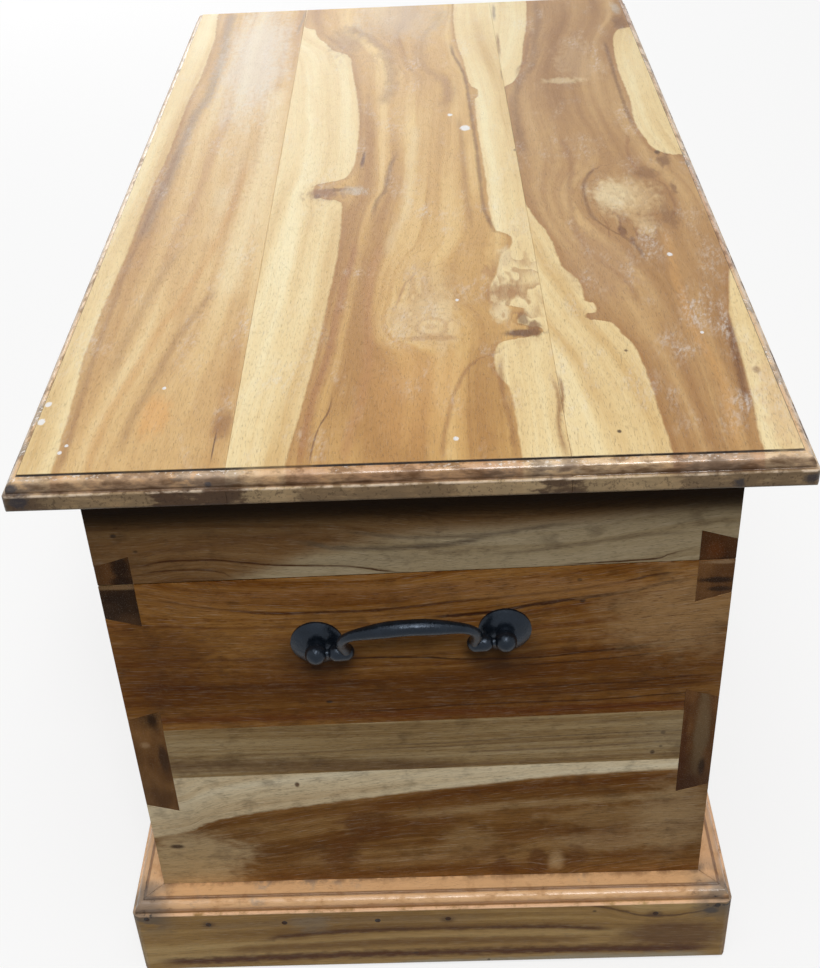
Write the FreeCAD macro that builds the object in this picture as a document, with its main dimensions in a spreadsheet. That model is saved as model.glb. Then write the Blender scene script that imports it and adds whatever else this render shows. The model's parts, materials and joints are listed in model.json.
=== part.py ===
import FreeCAD, Part
import math
import operator
import os
import Sketcher

# A small sea chest: a dovetailed box of edge-glued boards, sawn through below the lid, with a moulded
# lid and plinth, iron bail handles on both ends, two surface hinges and a slotted lid stay.
# +X is the near end, -Y the front, +Y the back with the hinges. All sizes are in millimetres.

doc = FreeCAD.newDocument("SeaChest")
sheet = doc.addObject("Spreadsheet::Sheet", "Sizes")

drivingSizes = (
    # box, sawn from one dovetailed case
    ("boxLength", 906, "outside length of the case"),
    ("boxWidth", 442, "outside width of the case"),
    ("wallThick", 25, "thickness of every wall board"),
    ("wallLift", 6, "walls stop this far above the floor"),
    ("endLowerBoard", 206.5, "width of the lowest board of an end"),
    ("endMiddleBoard", 52, "width of the middle board of an end"),
    ("endUpperBoard", 143, "width of the top board of an end, up to the rim"),
    ("sideUpperBoard", 80, "width of the top board of a side, down from the rim"),
    ("skirtDepth", 89.5, "depth of the sawn-off lid skirt at mid width"),
    ("jointRise", 7, "rise of the joints and the saw cut from front to back"),
    ("sawGapFront", 1.2, "open saw cut under the skirt at the front"),
    ("sawGapBack", 0.5, "open saw cut under the skirt at the back"),
    # dovetails, measured down or up from the rim at their own corner
    ("pinFlare", 8, "each cheek of a pin widens this much over the wall"),
    ("upperPinAbove", 25.5, "split upper pin, part above the saw cut"),
    ("upperPinBelow", 37.5, "split upper pin, part below the saw cut"),
    ("pinSpace", 85, "tail between the upper and the lower pin"),
    ("lowerPin", 109.5, "height of the lower pin at its base"),
    ("footPin", 60, "height of the half pin behind the plinth"),
    # lid
    ("lidOverhang", 37, "lid stands this far past the case all round"),
    ("lidThick", 23, "thickness of the lid boards"),
    ("lidFrontBoard", 139, "width of the front lid board at mid length"),
    ("lidBackBoard", 159, "width of the back lid board at mid length"),
    ("lidSeamSkew", 4, "lid joints run this far off square at each end"),
    ("quirkInset", 10, "width of the edge moulding"),
    ("quirkDrop", 1.4, "small step at the top of the moulding"),
    ("ovoloRadius", 7, "quarter round of the moulding"),
    ("mouldDrop", 10.4, "height of the moulding"),
    ("arris", 1.2, "eased edge of the fillet under the quarter round"),
    ("lidEase", 3, "eased lower edge of the lid"),
    ("battenWide", 45, "width of a lid batten"),
    ("battenThick", 18, "thickness of a lid batten"),
    ("battenSpread", 230, "batten centre from mid length"),
    ("battenGap", 2, "batten ends clear the skirt"),
    ("battenScrewPitch", 68, "spacing of the inner batten screws"),
    ("battenScrewEnd", 58, "batten end to its outermost screw"),
    ("battenScrewGrip", 14, "batten screws enter the lid boards"),
    # plinth
    ("plinthThick", 25, "thickness of the plinth boards"),
    ("plinthHeight", 84, "height of the plinth"),
    ("plinthEase", 5, "rounded lower edge of the plinth"),
    ("plinthNailUp", 61, "height of the plinth nails"),
    ("endNailIn", 12, "outer nails of a plinth end, in from the inside of the side walls"),
    ("endNailSecond", -121, "inner nails along a plinth end, from its middle"),
    ("endNailThird", -44, "inner nails along a plinth end, from its middle"),
    ("endNailFourth", 14, "inner nails along a plinth end, from its middle"),
    ("mitreNailIn", 12, "mitre nails from the corner of the plinth"),
    ("mitreNailUp", 70, "height of the mitre nails"),
    ("sideNailPitch", 145, "spacing of the plinth nails along the sides"),
    ("nailLong", 40, "length of a plinth nail"),
    ("nailRadius", 1.3, "radius of a nail"),
    ("nailHead", 2.4, "radius of a nail head"),
    ("nailHeadThick", 1, "thickness of a nail head"),
    # floor
    ("cleatSide", 20, "square section of the floor cleats"),
    ("floorThick", 14, "thickness of the floor boards"),
    ("floorGap", 1, "gap round each floor board"),
    ("floorNailLong", 28, "length of a floor nail"),
    ("floorNailIn", 35, "floor nail from the edge of its board"),
    ("cleatScrewPitch", 180, "spacing of the cleat screws along the sides"),
    ("cleatScrewStep", 130, "spacing of the cleat screws along the ends"),
    # round-headed wood screws
    ("screwRadius", 2, "radius of a wood screw"),
    ("screwHead", 4, "radius of a screw head"),
    ("screwHeadHigh", 2, "height of a screw head"),
    ("screwCrown", 2.6, "radius of the flat on a screw head"),
    ("screwGrip", 16, "depth of a wood screw in the wood behind"),
    # handles
    ("handleSpan", 135, "distance between the two roses"),
    ("handleDrop", 57, "handle pivot below the rim at mid width"),
    ("handleShift", 5, "near handle sits this far to the front"),
    ("handleTilt", 2.9, "near handle is fitted out of level, in degrees"),
    ("roseRadius", 19, "radius of a rose"),
    ("roseEdge", 1.8, "thickness of a rose at its rim"),
    ("roseCrown", 6, "height of the domed rose at the boss"),
    ("roseDome", 20, "radius of the dome's section"),
    ("bossRadius", 8, "ball boss that holds the bail"),
    ("bossNeck", 6.5, "radius of the neck under the ball"),
    ("pivotOut", 13, "bail pivot in front of the wall"),
    ("studRadius", 3, "threaded stud of a rose"),
    ("studFit", 0.2, "stud clearance in the wall and washer"),
    ("studSpare", 2, "stud past its nut"),
    ("washerRadius", 9, "radius of the stud washer"),
    ("washerThick", 1.5, "thickness of the stud washer"),
    ("nutRadius", 5.8, "corner radius of the hexagon nut"),
    ("nutThick", 5, "thickness of the nut"),
    ("nutFit", 0.05, "thread clearance drawn as a plain gap"),
    ("bailPin", 3, "radius of the bail ends in the bosses"),
    ("bailFit", 0.06, "running clearance of the bail ends"),
    ("bailGap", 0.4, "gap beside and behind the bail ends"),
    ("knuckleRadius", 6.5, "thick ends of the bail"),
    ("knuckleLong", 12.7, "length of the bail knuckle between its round ends' centres"),
    ("bowRise", 36, "height of the grip above the pivot"),
    ("bowFoot", 5, "radius of the bail at its foot"),
    ("bowNeck", 3.7, "radius of the bail at its corners"),
    ("bowGrip", 5.8, "radius of the grip at its middle"),
    ("bailAngle", 64, "bail at rest, above straight out, in degrees"),
    # hinges
    ("hingeSpread", 280, "hinge centre from mid length"),
    ("leafWide", 64, "length of a hinge"),
    ("leafHigh", 44, "height of a hinge leaf"),
    ("leafThick", 2.5, "thickness of a hinge leaf"),
    ("barrelRadius", 4.5, "radius of the hinge knuckles"),
    ("barrelGap", 0.3, "clearance round and between the knuckles"),
    ("hingePin", 2.45, "radius of the hinge pin"),
    ("hingeFit", 0.05, "running clearance of the hinge pin"),
    ("hingePinSpare", 3, "hinge pin past the knuckles at each end"),
    ("leafScrewIn", 12, "leaf screws from the edges of the leaf"),
    ("leafHoleFit", 0.2, "screw clearance in a leaf"),
    # lid stay
    ("stayReach", 100, "stay pivots from the hinge line"),
    ("stayAngle", 12.5, "stay pivots above and below the hinge, in degrees"),
    ("lidOpen", 100, "opening angle that the stay allows, in degrees"),
    ("stayHalf", 7, "half width of the stay arm"),
    ("stayThick", 3, "thickness of the stay arm"),
    ("stayPin", 3, "radius of the shouldered stay screws"),
    ("stayFit", 0.06, "running clearance at the lid end of the stay"),
    ("slotFit", 0.4, "clearance of the slot on its screw"),
    ("stayCollar", 6.5, "radius of the collar and head of a stay screw"),
    ("stayStandoff", 3, "collar between the wall and the arm"),
    ("stayHeadThick", 2.4, "thickness of a stay screw head"),
    ("stayEndPlay", 0.3, "gap either side of the arm on its screws"),
    ("stayGrip", 14, "stay screws enter the wood"),
)
for row, (name, number, note) in enumerate(drivingSizes, start=1):
    sheet.set(f"A{row}", name)
    sheet.set(f"B{row}", str(number))
    sheet.setAlias(f"B{row}", name)
    sheet.set(f"C{row}", note)
doc.recompute()


# --- sizes that remember which cells they come from -------------------------------------------------

operations = {"+": operator.add, "-": operator.sub, "*": operator.mul, "/": operator.truediv}


class Size:
    """A number together with the sheet expression that gives it."""

    def __init__(self, value, text):
        self.value = value
        self.text = text

    def join(self, sign, other, swapped=False):
        left, right = (asSize(other), self) if swapped else (self, asSize(other))
        value = operations[sign](left.value, right.value)
        return Size(value, f"({left.text} {sign} {right.text})")

    def __add__(self, other):
        return self.join("+", other)

    def __radd__(self, other):
        return self.join("+", other, swapped=True)

    def __sub__(self, other):
        return self.join("-", other)

    def __rsub__(self, other):
        return self.join("-", other, swapped=True)

    def __mul__(self, other):
        return self.join("*", other)

    def __rmul__(self, other):
        return self.join("*", other, swapped=True)

    def __truediv__(self, other):
        return self.join("/", other)

    def __neg__(self):
        return self * -1


def asSize(thing):
    return thing if isinstance(thing, Size) else Size(float(thing), f"({thing})")


def cosine(angle):
    return Size(math.cos(math.radians(angle.value)), f"cos({angle.text} * 1 deg)")


def sine(angle):
    return Size(math.sin(math.radians(angle.value)), f"sin({angle.text} * 1 deg)")


class Cells:
    """Reads a driving size of the sheet by its name."""

    def __getattr__(self, name):
        return Size(float(sheet.get(name)), f"Sizes.{name}")


S = Cells()
nothing = asSize(0)
nodes = {}


# --- drawing and shaping helpers --------------------------------------------------------------------

def bind(thing, path, size):
    thing.setExpression(path, asSize(size).text)


def keep(thing, label):
    thing.Label = label
    nodes[label] = thing
    return thing


def newBody(label):
    return keep(doc.addObject("PartDesign::Body", label), label)


def sketchOn(body, role, offset=nothing):
    """A sketch on an origin plane, moved along X, Y or Z by offset."""
    sketch = body.newObject("Sketcher::SketchObject", f"{body.Name}_sketch")
    plane = next(item for item in body.Origin.OriginFeatures if item.Role == role)
    sketch.AttachmentSupport = [(plane, "")]
    sketch.MapMode = "FlatFace"
    facing = -1 if role == "XZ_Plane" else 1
    bind(sketch, "AttachmentOffset.Base.z", asSize(offset) * facing)
    return sketch


def fixPoint(sketch, edge, end, across, up):
    for kind, size in (("DistanceX", across), ("DistanceY", up)):
        place = sketch.addConstraint(Sketcher.Constraint(kind, -1, 1, edge, end, size.value))
        bind(sketch, f"Constraints[{place}]", size)


def drawLoop(sketch, corners):
    """A closed outline. A corner is (across, up), or (across, up, radius, turn) where an arc leads to it."""
    points = [(asSize(corner[0]), asSize(corner[1])) for corner in corners]
    first = sketch.GeometryCount
    starts, ends = [], []
    for index, corner in enumerate(corners):
        before = FreeCAD.Vector(points[index - 1][0].value, points[index - 1][1].value, 0)
        after = FreeCAD.Vector(points[index][0].value, points[index][1].value, 0)
        if len(corner) == 2:
            sketch.addGeometry(Part.LineSegment(before, after), False)
            starts.append(1)
            ends.append(2)
            continue
        radius, turn = asSize(corner[2]), corner[3]
        half = (after - before) * 0.5
        lift = math.sqrt(max(radius.value ** 2 - half.Length ** 2, 0))
        normal = FreeCAD.Vector(-half.y, half.x, 0).normalize() * (lift * turn)
        centre = before + half + normal
        tail, head = (before, after) if turn > 0 else (after, before)
        angles = [math.atan2(point.y - centre.y, point.x - centre.x) for point in (tail, head)]
        circle = Part.Circle(centre, FreeCAD.Vector(0, 0, 1), radius.value)
        sketch.addGeometry(Part.ArcOfCircle(circle, angles[0], angles[1]), False)
        starts.append(1 if turn > 0 else 2)
        ends.append(2 if turn > 0 else 1)
    count = len(corners)
    for index in range(count):
        after = (index + 1) % count
        link = Sketcher.Constraint("Coincident", first + index, ends[index], first + after, starts[after])
        sketch.addConstraint(link)
    for index, corner in enumerate(corners):
        fixPoint(sketch, first + index, ends[index], *points[index])
        if len(corner) > 2:
            size = asSize(corner[2])
            place = sketch.addConstraint(Sketcher.Constraint("Radius", first + index, size.value))
            bind(sketch, f"Constraints[{place}]", size)
    return sketch


def drawCircle(sketch, across, up, radius):
    across, up, radius = asSize(across), asSize(up), asSize(radius)
    centre = FreeCAD.Vector(across.value, up.value, 0)
    edge = sketch.addGeometry(Part.Circle(centre, FreeCAD.Vector(0, 0, 1), radius.value), False)
    place = sketch.addConstraint(Sketcher.Constraint("Radius", edge, radius.value))
    bind(sketch, f"Constraints[{place}]", radius)
    fixPoint(sketch, edge, 3, across, up)
    return sketch


def pad(body, sketch, thickness):
    """Thickens a sketch by the same amount on both of its sides."""
    feature = body.newObject("PartDesign::Pad", f"{body.Name}_pad")
    feature.Profile = sketch
    feature.SideType = "Symmetric"
    bind(feature, "Length", thickness)
    return feature


def pocket(body, sketch, depth=None):
    """Cuts a sketch on both of its sides, right through unless a whole depth is given."""
    feature = body.newObject("PartDesign::Pocket", f"{body.Name}_pocket")
    feature.Profile = sketch
    feature.SideType = "Symmetric"
    if depth is None:
        feature.Type = "ThroughAll"
    else:
        bind(feature, "Length", depth)
    return feature


def drill(body, role, offset, spots, radius, depth=None):
    """Round holes at (across, up) spots; offset is the middle of their depth."""
    sketch = sketchOn(body, role, offset)
    for across, up in spots:
        drawCircle(sketch, across, up, radius)
    pocket(body, sketch, depth)


def solidBoard(label, role, middle, thickness, corners):
    body = newBody(label)
    pad(body, drawLoop(sketchOn(body, role, middle), corners), thickness)
    return body


def place(thing, across, along, up):
    for axis, size in zip("xyz", (across, along, up)):
        bind(thing, f"Placement.Base.{axis}", size)
    return thing


def turned(thing, axis, angle):
    rotation = FreeCAD.Rotation(FreeCAD.Vector(*axis), angle)
    thing.Placement = FreeCAD.Placement(FreeCAD.Vector(0, 0, 0), rotation)
    return thing


def cylinder(name, radius, height, start=nothing):
    """A round bar along Z from start."""
    bar = doc.addObject("Part::Cylinder", name)
    bind(bar, "Radius", radius)
    bind(bar, "Height", height)
    bind(bar, "Placement.Base.z", start)
    return bar


def joined(name, *pieces):
    whole = doc.addObject("Part::MultiFuse", name)
    whole.Shapes = list(pieces)
    return whole


def group(label, pieces):
    whole = doc.addObject("Part::Compound", label)
    whole.Links = list(pieces)
    return keep(whole, label)


facings = {  # turns a fastener, drawn head up along +Z, so that its head faces a direction
    "+X": ((0, 1, 0), 90),
    "-X": ((0, 1, 0), -90),
    "+Y": ((1, 0, 0), -90),
    "-Y": ((1, 0, 0), 90),
    "+Z": ((0, 0, 1), 0),
    "-Z": ((1, 0, 0), 180),
}


def fasteners(label, pattern, spots):
    """Separate copies of one fastener: a spot is (facing, x, y, z) of its head's seat."""
    copies = []
    for facing, across, along, up in spots:
        copy = doc.addObject("App::Link", f"{label}_copy")
        copy.LinkedObject = pattern
        turned(copy, *facings[facing])
        copies.append(place(copy, across, along, up))
    return group(label, copies)


def woodScrew(name, length):
    """Round head standing on its seat, plain shank below."""
    shank = cylinder(f"{name}_shank", S.screwRadius, length, -length)
    head = doc.addObject("Part::Cone", f"{name}_head")
    bind(head, "Radius1", S.screwHead)
    bind(head, "Radius2", S.screwCrown)
    bind(head, "Height", S.screwHeadHigh)
    return joined(name, shank, head)


def nail(name, length):
    """Flat head sunk flush, so the seat is the wood's surface."""
    shank = cylinder(f"{name}_shank", S.nailRadius, length, -length)
    head = cylinder(f"{name}_head", S.nailHead, S.nailHeadThick, -S.nailHeadThick)
    return joined(name, shank, head)


def spread(count, pitch):
    """Evenly pitched places about the middle."""
    return [pitch * (index - (count - 1) / 2) for index in range(count)]


# --- levels and lines shared by the pieces ----------------------------------------------------------

halfBox = S.boxLength / 2
halfWide = S.boxWidth / 2
innerHalf = halfBox - S.wallThick
innerWide = halfWide - S.wallThick
endMiddle = halfBox - S.wallThick / 2
halfLid = halfBox + S.lidOverhang
halfLidWide = halfWide + S.lidOverhang
seamLow = S.wallLift + S.endLowerBoard
seamHigh = seamLow + S.endMiddleBoard
rim = seamHigh + S.endUpperBoard
sideSeam = rim - S.sideUpperBoard
lidUnder = rim + S.skirtDepth
lidTop = lidUnder + S.lidThick
spare = asSize(2)  # how far a cutting outline runs past the wood


def sloped(height, along):
    """A joint's height at a place across the chest."""
    return height + S.jointRise * along / S.boxWidth


def skirtFoot(along):
    """The upper face of the saw cut, which is a little wider at the front."""
    gap = (S.sawGapFront + S.sawGapBack) / 2 + (S.sawGapBack - S.sawGapFront) * along / S.boxWidth
    return sloped(rim, along) + gap


# --- dovetails ---------------------------------------------------------------------------------------

class Corner:
    """The pins of one side wall, seen from the end. side is -1 at the front and 1 at the back."""

    def __init__(self, side):
        self.outer = halfWide * side
        self.inner = innerWide * side
        level = sloped(rim, self.outer)
        self.upperTop = level + S.upperPinAbove
        self.upperFoot = level - S.upperPinBelow
        self.lowerTop = self.upperFoot - S.pinSpace
        self.lowerFoot = self.lowerTop - S.lowerPin
        self.footTop = S.wallLift + S.footPin

    def pin(self, foot, top):
        """A whole pin, wider at its base."""
        return [(self.inner, foot), (self.outer, foot + S.pinFlare),
                (self.outer, top - S.pinFlare), (self.inner, top)]

    def upperPin(self):
        return self.pin(self.upperFoot, self.upperTop)

    def lowerPin(self):
        return self.pin(self.lowerFoot, self.lowerTop)

    def footPin(self, foot):
        return [(self.inner, foot), (self.outer, foot),
                (self.outer, self.footTop - S.pinFlare), (self.inner, self.footTop)]

    def boxHalfPin(self):
        """The part of the split pin that stays on the box."""
        return [(self.inner, self.upperFoot), (self.outer, self.upperFoot + S.pinFlare),
                (self.outer, sloped(rim, self.outer)), (self.inner, sloped(rim, self.inner))]

    def skirtHalfPin(self):
        """The part of the split pin that lifts with the lid."""
        return [(self.inner, skirtFoot(self.inner)), (self.outer, skirtFoot(self.outer)),
                (self.outer, self.upperTop - S.pinFlare), (self.inner, self.upperTop)]

    def wall(self, foot, top):
        """The section of a side board between two heights given as functions of the place across."""
        return [(self.inner, foot(self.inner)), (self.outer, foot(self.outer)),
                (self.outer, top(self.outer)), (self.inner, top(self.inner))]


corners = {"front": Corner(-1), "back": Corner(1)}


def cutSockets(body, *loops):
    for loop in loops:
        pocket(body, drawLoop(sketchOn(body, "YZ_Plane"), loop))


def endBoard(label, end, foot, top):
    """A board of an end wall, with its joints sloping up to the back."""
    outline = [(-halfWide, foot(-halfWide)), (halfWide, foot(halfWide)),
               (halfWide, top(halfWide)), (-halfWide, top(-halfWide))]
    return solidBoard(label, "YZ_Plane", endMiddle * end, S.wallThick, outline)


def wallBottom(along):
    return S.wallLift


def lidLevel(along):
    return lidUnder


def lowSeam(along):
    return sloped(seamLow, along)


def highSeam(along):
    return sloped(seamHigh, along)


def boxRim(along):
    return sloped(rim, along)


def sideJoint(along):
    return sloped(sideSeam, along)


# --- handle places ----------------------------------------------------------------------------------

handleUp = rim - S.handleDrop


class HandlePlace:
    """Where a handle sits on an end wall. The far one is level and central."""

    def __init__(self, end):
        self.end = end

    def spot(self, across):
        """Row place of a point of the pivot line, measured along the line."""
        if self.end > 0:
            return (across * cosine(S.handleTilt) - S.handleShift,
                    handleUp + across * sine(S.handleTilt))
        return -across, handleUp

    def seat(self, thing, across=nothing):
        """Puts a piece drawn with +X out of the wall onto this end."""
        if self.end > 0:
            turned(thing, (1, 0, 0), S.handleTilt.value)
            bind(thing, "Placement.Rotation.Angle", S.handleTilt)
        else:
            turned(thing, (0, 0, 1), 180)
        return place(thing, halfBox * self.end, *self.spot(across))


ends = {"near": HandlePlace(1), "far": HandlePlace(-1)}


# --- ends of the box ---------------------------------------------------------------------------------

plinthNailDepth = S.nailLong - S.plinthThick
plinthFace = halfBox + S.plinthThick
plinthSide = halfWide + S.plinthThick
outerEndNail = innerWide - S.endNailIn
endNails = [-outerEndNail, S.endNailSecond, S.endNailThird, S.endNailFourth, outerEndNail]
sideNails = spread(6, S.sideNailPitch)
mitreNail = plinthSide - S.mitreNailIn
cleatUp = S.wallLift + S.cleatSide / 2
endCleatScrews = spread(3, S.cleatScrewStep)
sideCleatScrews = spread(5, S.cleatScrewPitch)
hingeOut = S.barrelRadius + S.barrelGap
hingeAlong = halfWide + hingeOut
hingeUp = sloped(rim, halfWide) + S.sawGapBack / 2
stayAlong = hingeAlong - S.stayReach * cosine(S.stayAngle)
stayTopUp = hingeUp + S.stayReach * sine(S.stayAngle)
stayPinUp = hingeUp - S.stayReach * sine(S.stayAngle)

for end, handle in ends.items():
    way = handle.end
    lower = endBoard(f"{end}_end_lower", way, wallBottom, lowSeam)
    cutSockets(lower, *[loop for corner in corners.values()
                        for loop in (corner.lowerPin(), corner.footPin(S.wallLift))])
    drill(lower, "YZ_Plane", (halfBox - plinthNailDepth / 2) * way,
          [(along, S.plinthNailUp) for along in endNails], S.nailRadius, plinthNailDepth)
    drill(lower, "YZ_Plane", (innerHalf + S.screwGrip / 2) * way,
          [(along, cleatUp) for along in endCleatScrews], S.screwRadius, S.screwGrip)

    middle = endBoard(f"{end}_end_middle", way, lowSeam, highSeam)
    cutSockets(middle, *[corner.lowerPin() for corner in corners.values()])

    upper = endBoard(f"{end}_end_upper", way, highSeam, boxRim)
    cutSockets(upper, *[loop for corner in corners.values()
                        for loop in (corner.lowerPin(), corner.upperPin())])
    studSpots = [handle.spot(S.handleSpan * side / 2) for side in (-1, 1)]
    drill(upper, "YZ_Plane", endMiddle * way, studSpots, S.studRadius + S.studFit)

    skirt = endBoard(f"lid_skirt_{end}", way, skirtFoot, lidLevel)
    cutSockets(skirt, *[corner.upperPin() for corner in corners.values()])

    if end == "far":
        for board, up in ((upper, stayPinUp), (skirt, stayTopUp)):
            drill(board, "YZ_Plane", (innerHalf + S.stayGrip / 2) * way,
                  [(stayAlong, up)], S.screwRadius, S.stayGrip)


# --- sides of the box --------------------------------------------------------------------------------

def addPins(body, *loops):
    for loop in loops:
        pad(body, drawLoop(sketchOn(body, "YZ_Plane"), loop), S.boxLength)


leafStart = S.barrelRadius + S.barrelGap * 2
hingePlaces = [S.hingeSpread, -S.hingeSpread]


def leafScrewSpots(way):
    """Screw places of one leaf about its hinge's middle: way is 1 for the lid leaf."""
    across = S.leafWide / 2 - S.leafScrewIn
    rows = (leafStart + S.leafScrewIn, leafStart + S.leafHigh - S.leafScrewIn)
    return [(across * side, hingeUp + row * way) for side in (-1, 1) for row in rows]


for side, corner in corners.items():
    way = -1 if side == "front" else 1
    lower = solidBoard(f"{side}_board_lower", "YZ_Plane", nothing, innerHalf * 2,
                       corner.wall(wallBottom, sideJoint))
    addPins(lower, corner.lowerPin(), corner.footPin(S.wallLift))
    drill(lower, "XZ_Plane", (halfWide - plinthNailDepth / 2) * way,
          [(across, S.plinthNailUp) for across in sideNails], S.nailRadius, plinthNailDepth)
    drill(lower, "XZ_Plane", (innerWide + S.screwGrip / 2) * way,
          [(across, cleatUp) for across in sideCleatScrews], S.screwRadius, S.screwGrip)

    upper = solidBoard(f"{side}_board_upper", "YZ_Plane", nothing, innerHalf * 2,
                       corner.wall(sideJoint, boxRim))
    addPins(upper, corner.boxHalfPin())

    skirt = solidBoard(f"lid_skirt_{side}", "YZ_Plane", nothing, innerHalf * 2,
                       corner.wall(skirtFoot, lidLevel))
    addPins(skirt, corner.skirtHalfPin())

    if side == "back":
        for board, face in ((upper, -1), (skirt, 1)):
            spots = [(hinge + across, up) for hinge in hingePlaces for across, up in leafScrewSpots(face)]
            drill(board, "XZ_Plane", halfWide - S.screwGrip / 2, spots, S.screwRadius, S.screwGrip)


# --- moulded edges -----------------------------------------------------------------------------------

def mouldWaste(edge, top, way):
    """Waste above the moulding on the edge at way * edge."""
    inner = edge - S.quirkInset
    return [((edge + spare) * way, top + spare),
            (inner * way, top + spare),
            (inner * way, top - S.quirkDrop),
            ((inner + S.ovoloRadius) * way, top - S.quirkDrop - S.ovoloRadius, S.ovoloRadius, -way),
            ((inner + S.ovoloRadius) * way, top - S.mouldDrop),
            ((edge - S.arris) * way, top - S.mouldDrop),
            (edge * way, top - S.mouldDrop - S.arris, S.arris, -way),
            ((edge + spare) * way, top - S.mouldDrop - S.arris)]


def easeWaste(edge, foot, ease, way):
    """Waste outside a rounded lower edge."""
    return [((edge + spare) * way, foot - spare),
            ((edge + spare) * way, foot + ease),
            (edge * way, foot + ease),
            ((edge - ease) * way, foot, ease, -way),
            ((edge - ease) * way, foot - spare)]


def mould(body, role, edge, top, foot, ease, ways):
    """Runs the moulding and the eased lower edge along one or two edges of a board."""
    sketch = sketchOn(body, role)
    for way in ways:
        drawLoop(sketch, mouldWaste(edge, top, way))
        drawLoop(sketch, easeWaste(edge, foot, ease, way))
    pocket(body, sketch)


# --- lid ---------------------------------------------------------------------------------------------

def frontEdge(end):
    return -halfLidWide


def frontJoint(end):
    """The joint's place across the lid at mid length, 0, or at an end, -1 or 1."""
    return S.lidFrontBoard - halfLidWide + S.lidSeamSkew * end


def backJoint(end):
    return halfLidWide - S.lidBackBoard + S.lidSeamSkew * end


def backEdge(end):
    return halfLidWide


lidMiddle = lidUnder + S.lidThick / 2
battenLong = (innerWide - S.battenGap) * 2
battenUp = lidUnder - S.battenThick
battenOuter = innerWide - S.battenGap - S.battenScrewEnd
battenScrews = [-battenOuter, *spread(3, S.battenScrewPitch), battenOuter]
lidStrips = {
    "lid_board_front": (frontEdge, frontJoint, (-1,)),
    "lid_board_middle": (frontJoint, backJoint, ()),
    "lid_board_back": (backJoint, backEdge, (1,)),
}
for label, (start, stop, moulded) in lidStrips.items():
    outline = [(-halfLid, start(-1)), (halfLid, start(1)), (halfLid, stop(1)), (-halfLid, stop(-1))]
    board = solidBoard(label, "XY_Plane", lidMiddle, S.lidThick, outline)
    mould(board, "XZ_Plane", halfLid, lidTop, lidUnder, S.lidEase, (-1, 1))
    if moulded:
        mould(board, "YZ_Plane", halfLidWide, lidTop, lidUnder, S.lidEase, moulded)
    held = [along for along in battenScrews if start(0).value < along.value < stop(0).value]
    spots = [(S.battenSpread * way, along) for way in (-1, 1) for along in held]
    drill(board, "XY_Plane", lidUnder + S.battenScrewGrip / 2, spots, S.screwRadius, S.battenScrewGrip)

for end, way in (("near", 1), ("far", -1)):
    centre = S.battenSpread * way
    outline = [(centre - S.battenWide / 2, -battenLong / 2), (centre + S.battenWide / 2, -battenLong / 2),
               (centre + S.battenWide / 2, battenLong / 2), (centre - S.battenWide / 2, battenLong / 2)]
    batten = solidBoard(f"lid_batten_{end}", "XY_Plane", lidUnder - S.battenThick / 2, S.battenThick, outline)
    drill(batten, "XY_Plane", nothing, [(centre, along) for along in battenScrews], S.screwRadius)

battenScrew = woodScrew("batten_screw", S.battenThick + S.battenScrewGrip)
fasteners("lid_batten_screws", battenScrew,
          [("-Z", S.battenSpread * way, along, battenUp) for way in (-1, 1) for along in battenScrews])


# --- plinth ------------------------------------------------------------------------------------------

def plinthBoard(label, role, outline, edge, way, nails, face):
    """A mitred plinth board with its top edge moulded and its lower edge rounded."""
    board = solidBoard(label, "XY_Plane", S.plinthHeight / 2, S.plinthHeight, outline)
    mould(board, role, edge, S.plinthHeight, nothing, S.plinthEase, (way,))
    across = "YZ_Plane" if role == "XZ_Plane" else "XZ_Plane"
    spots = [(spot, S.plinthNailUp) for spot in nails]
    drill(board, across, face * way, spots, S.nailRadius)
    drill(board, across, (edge - S.nailHeadThick / 2) * way, spots, S.nailHead, S.nailHeadThick)
    return board


mitreSpots = [(mitreNail * way, S.mitreNailUp) for way in (-1, 1)]
for end, way in (("near", 1), ("far", -1)):
    outline = [(halfBox * way, -halfWide), (plinthFace * way, -plinthSide),
               (plinthFace * way, plinthSide), (halfBox * way, halfWide)]
    board = plinthBoard(f"plinth_{end}", "XZ_Plane", outline, plinthFace, way, endNails, halfBox)
    drill(board, "YZ_Plane", plinthFace * way, mitreSpots, S.nailRadius, S.nailLong * 2)
    drill(board, "YZ_Plane", plinthFace * way, mitreSpots, S.nailHead, S.nailHeadThick * 2)
for side, way in (("front", -1), ("back", 1)):
    outline = [(-halfBox, halfWide * way), (-plinthFace, plinthSide * way),
               (plinthFace, plinthSide * way), (halfBox, halfWide * way)]
    board = plinthBoard(f"plinth_{side}", "YZ_Plane", outline, plinthSide, way, sideNails, halfWide)
    for end in (-1, 1):
        drill(board, "YZ_Plane", plinthFace * end, [(mitreNail * way, S.mitreNailUp)],
              S.nailRadius, S.nailLong * 2)

plinthNail = nail("plinth_nail", S.nailLong)
plinthSpots = [(facing, plinthFace * way, along, up)
               for facing, way in (("+X", 1), ("-X", -1))
               for along, up in [*[(along, S.plinthNailUp) for along in endNails], *mitreSpots]]
plinthSpots += [(facing, across, plinthSide * way, S.plinthNailUp)
                for facing, way in (("+Y", 1), ("-Y", -1)) for across in sideNails]
fasteners("plinth_nails", plinthNail, plinthSpots)


# --- floor -------------------------------------------------------------------------------------------

floorCount = 5
floorUnder = S.wallLift + S.cleatSide
floorPitch = innerHalf * 2 / floorCount
floorHalf = floorPitch / 2 - S.floorGap / 2
floorReach = innerWide - S.floorGap
floorNailAlong = innerWide - S.cleatSide / 2
floorNailGrip = S.floorNailLong - S.floorThick
boardCentres = spread(floorCount, floorPitch)
floorNails = [centre + (floorHalf - S.floorNailIn) * side for centre in boardCentres for side in (-1, 1)]

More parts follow.
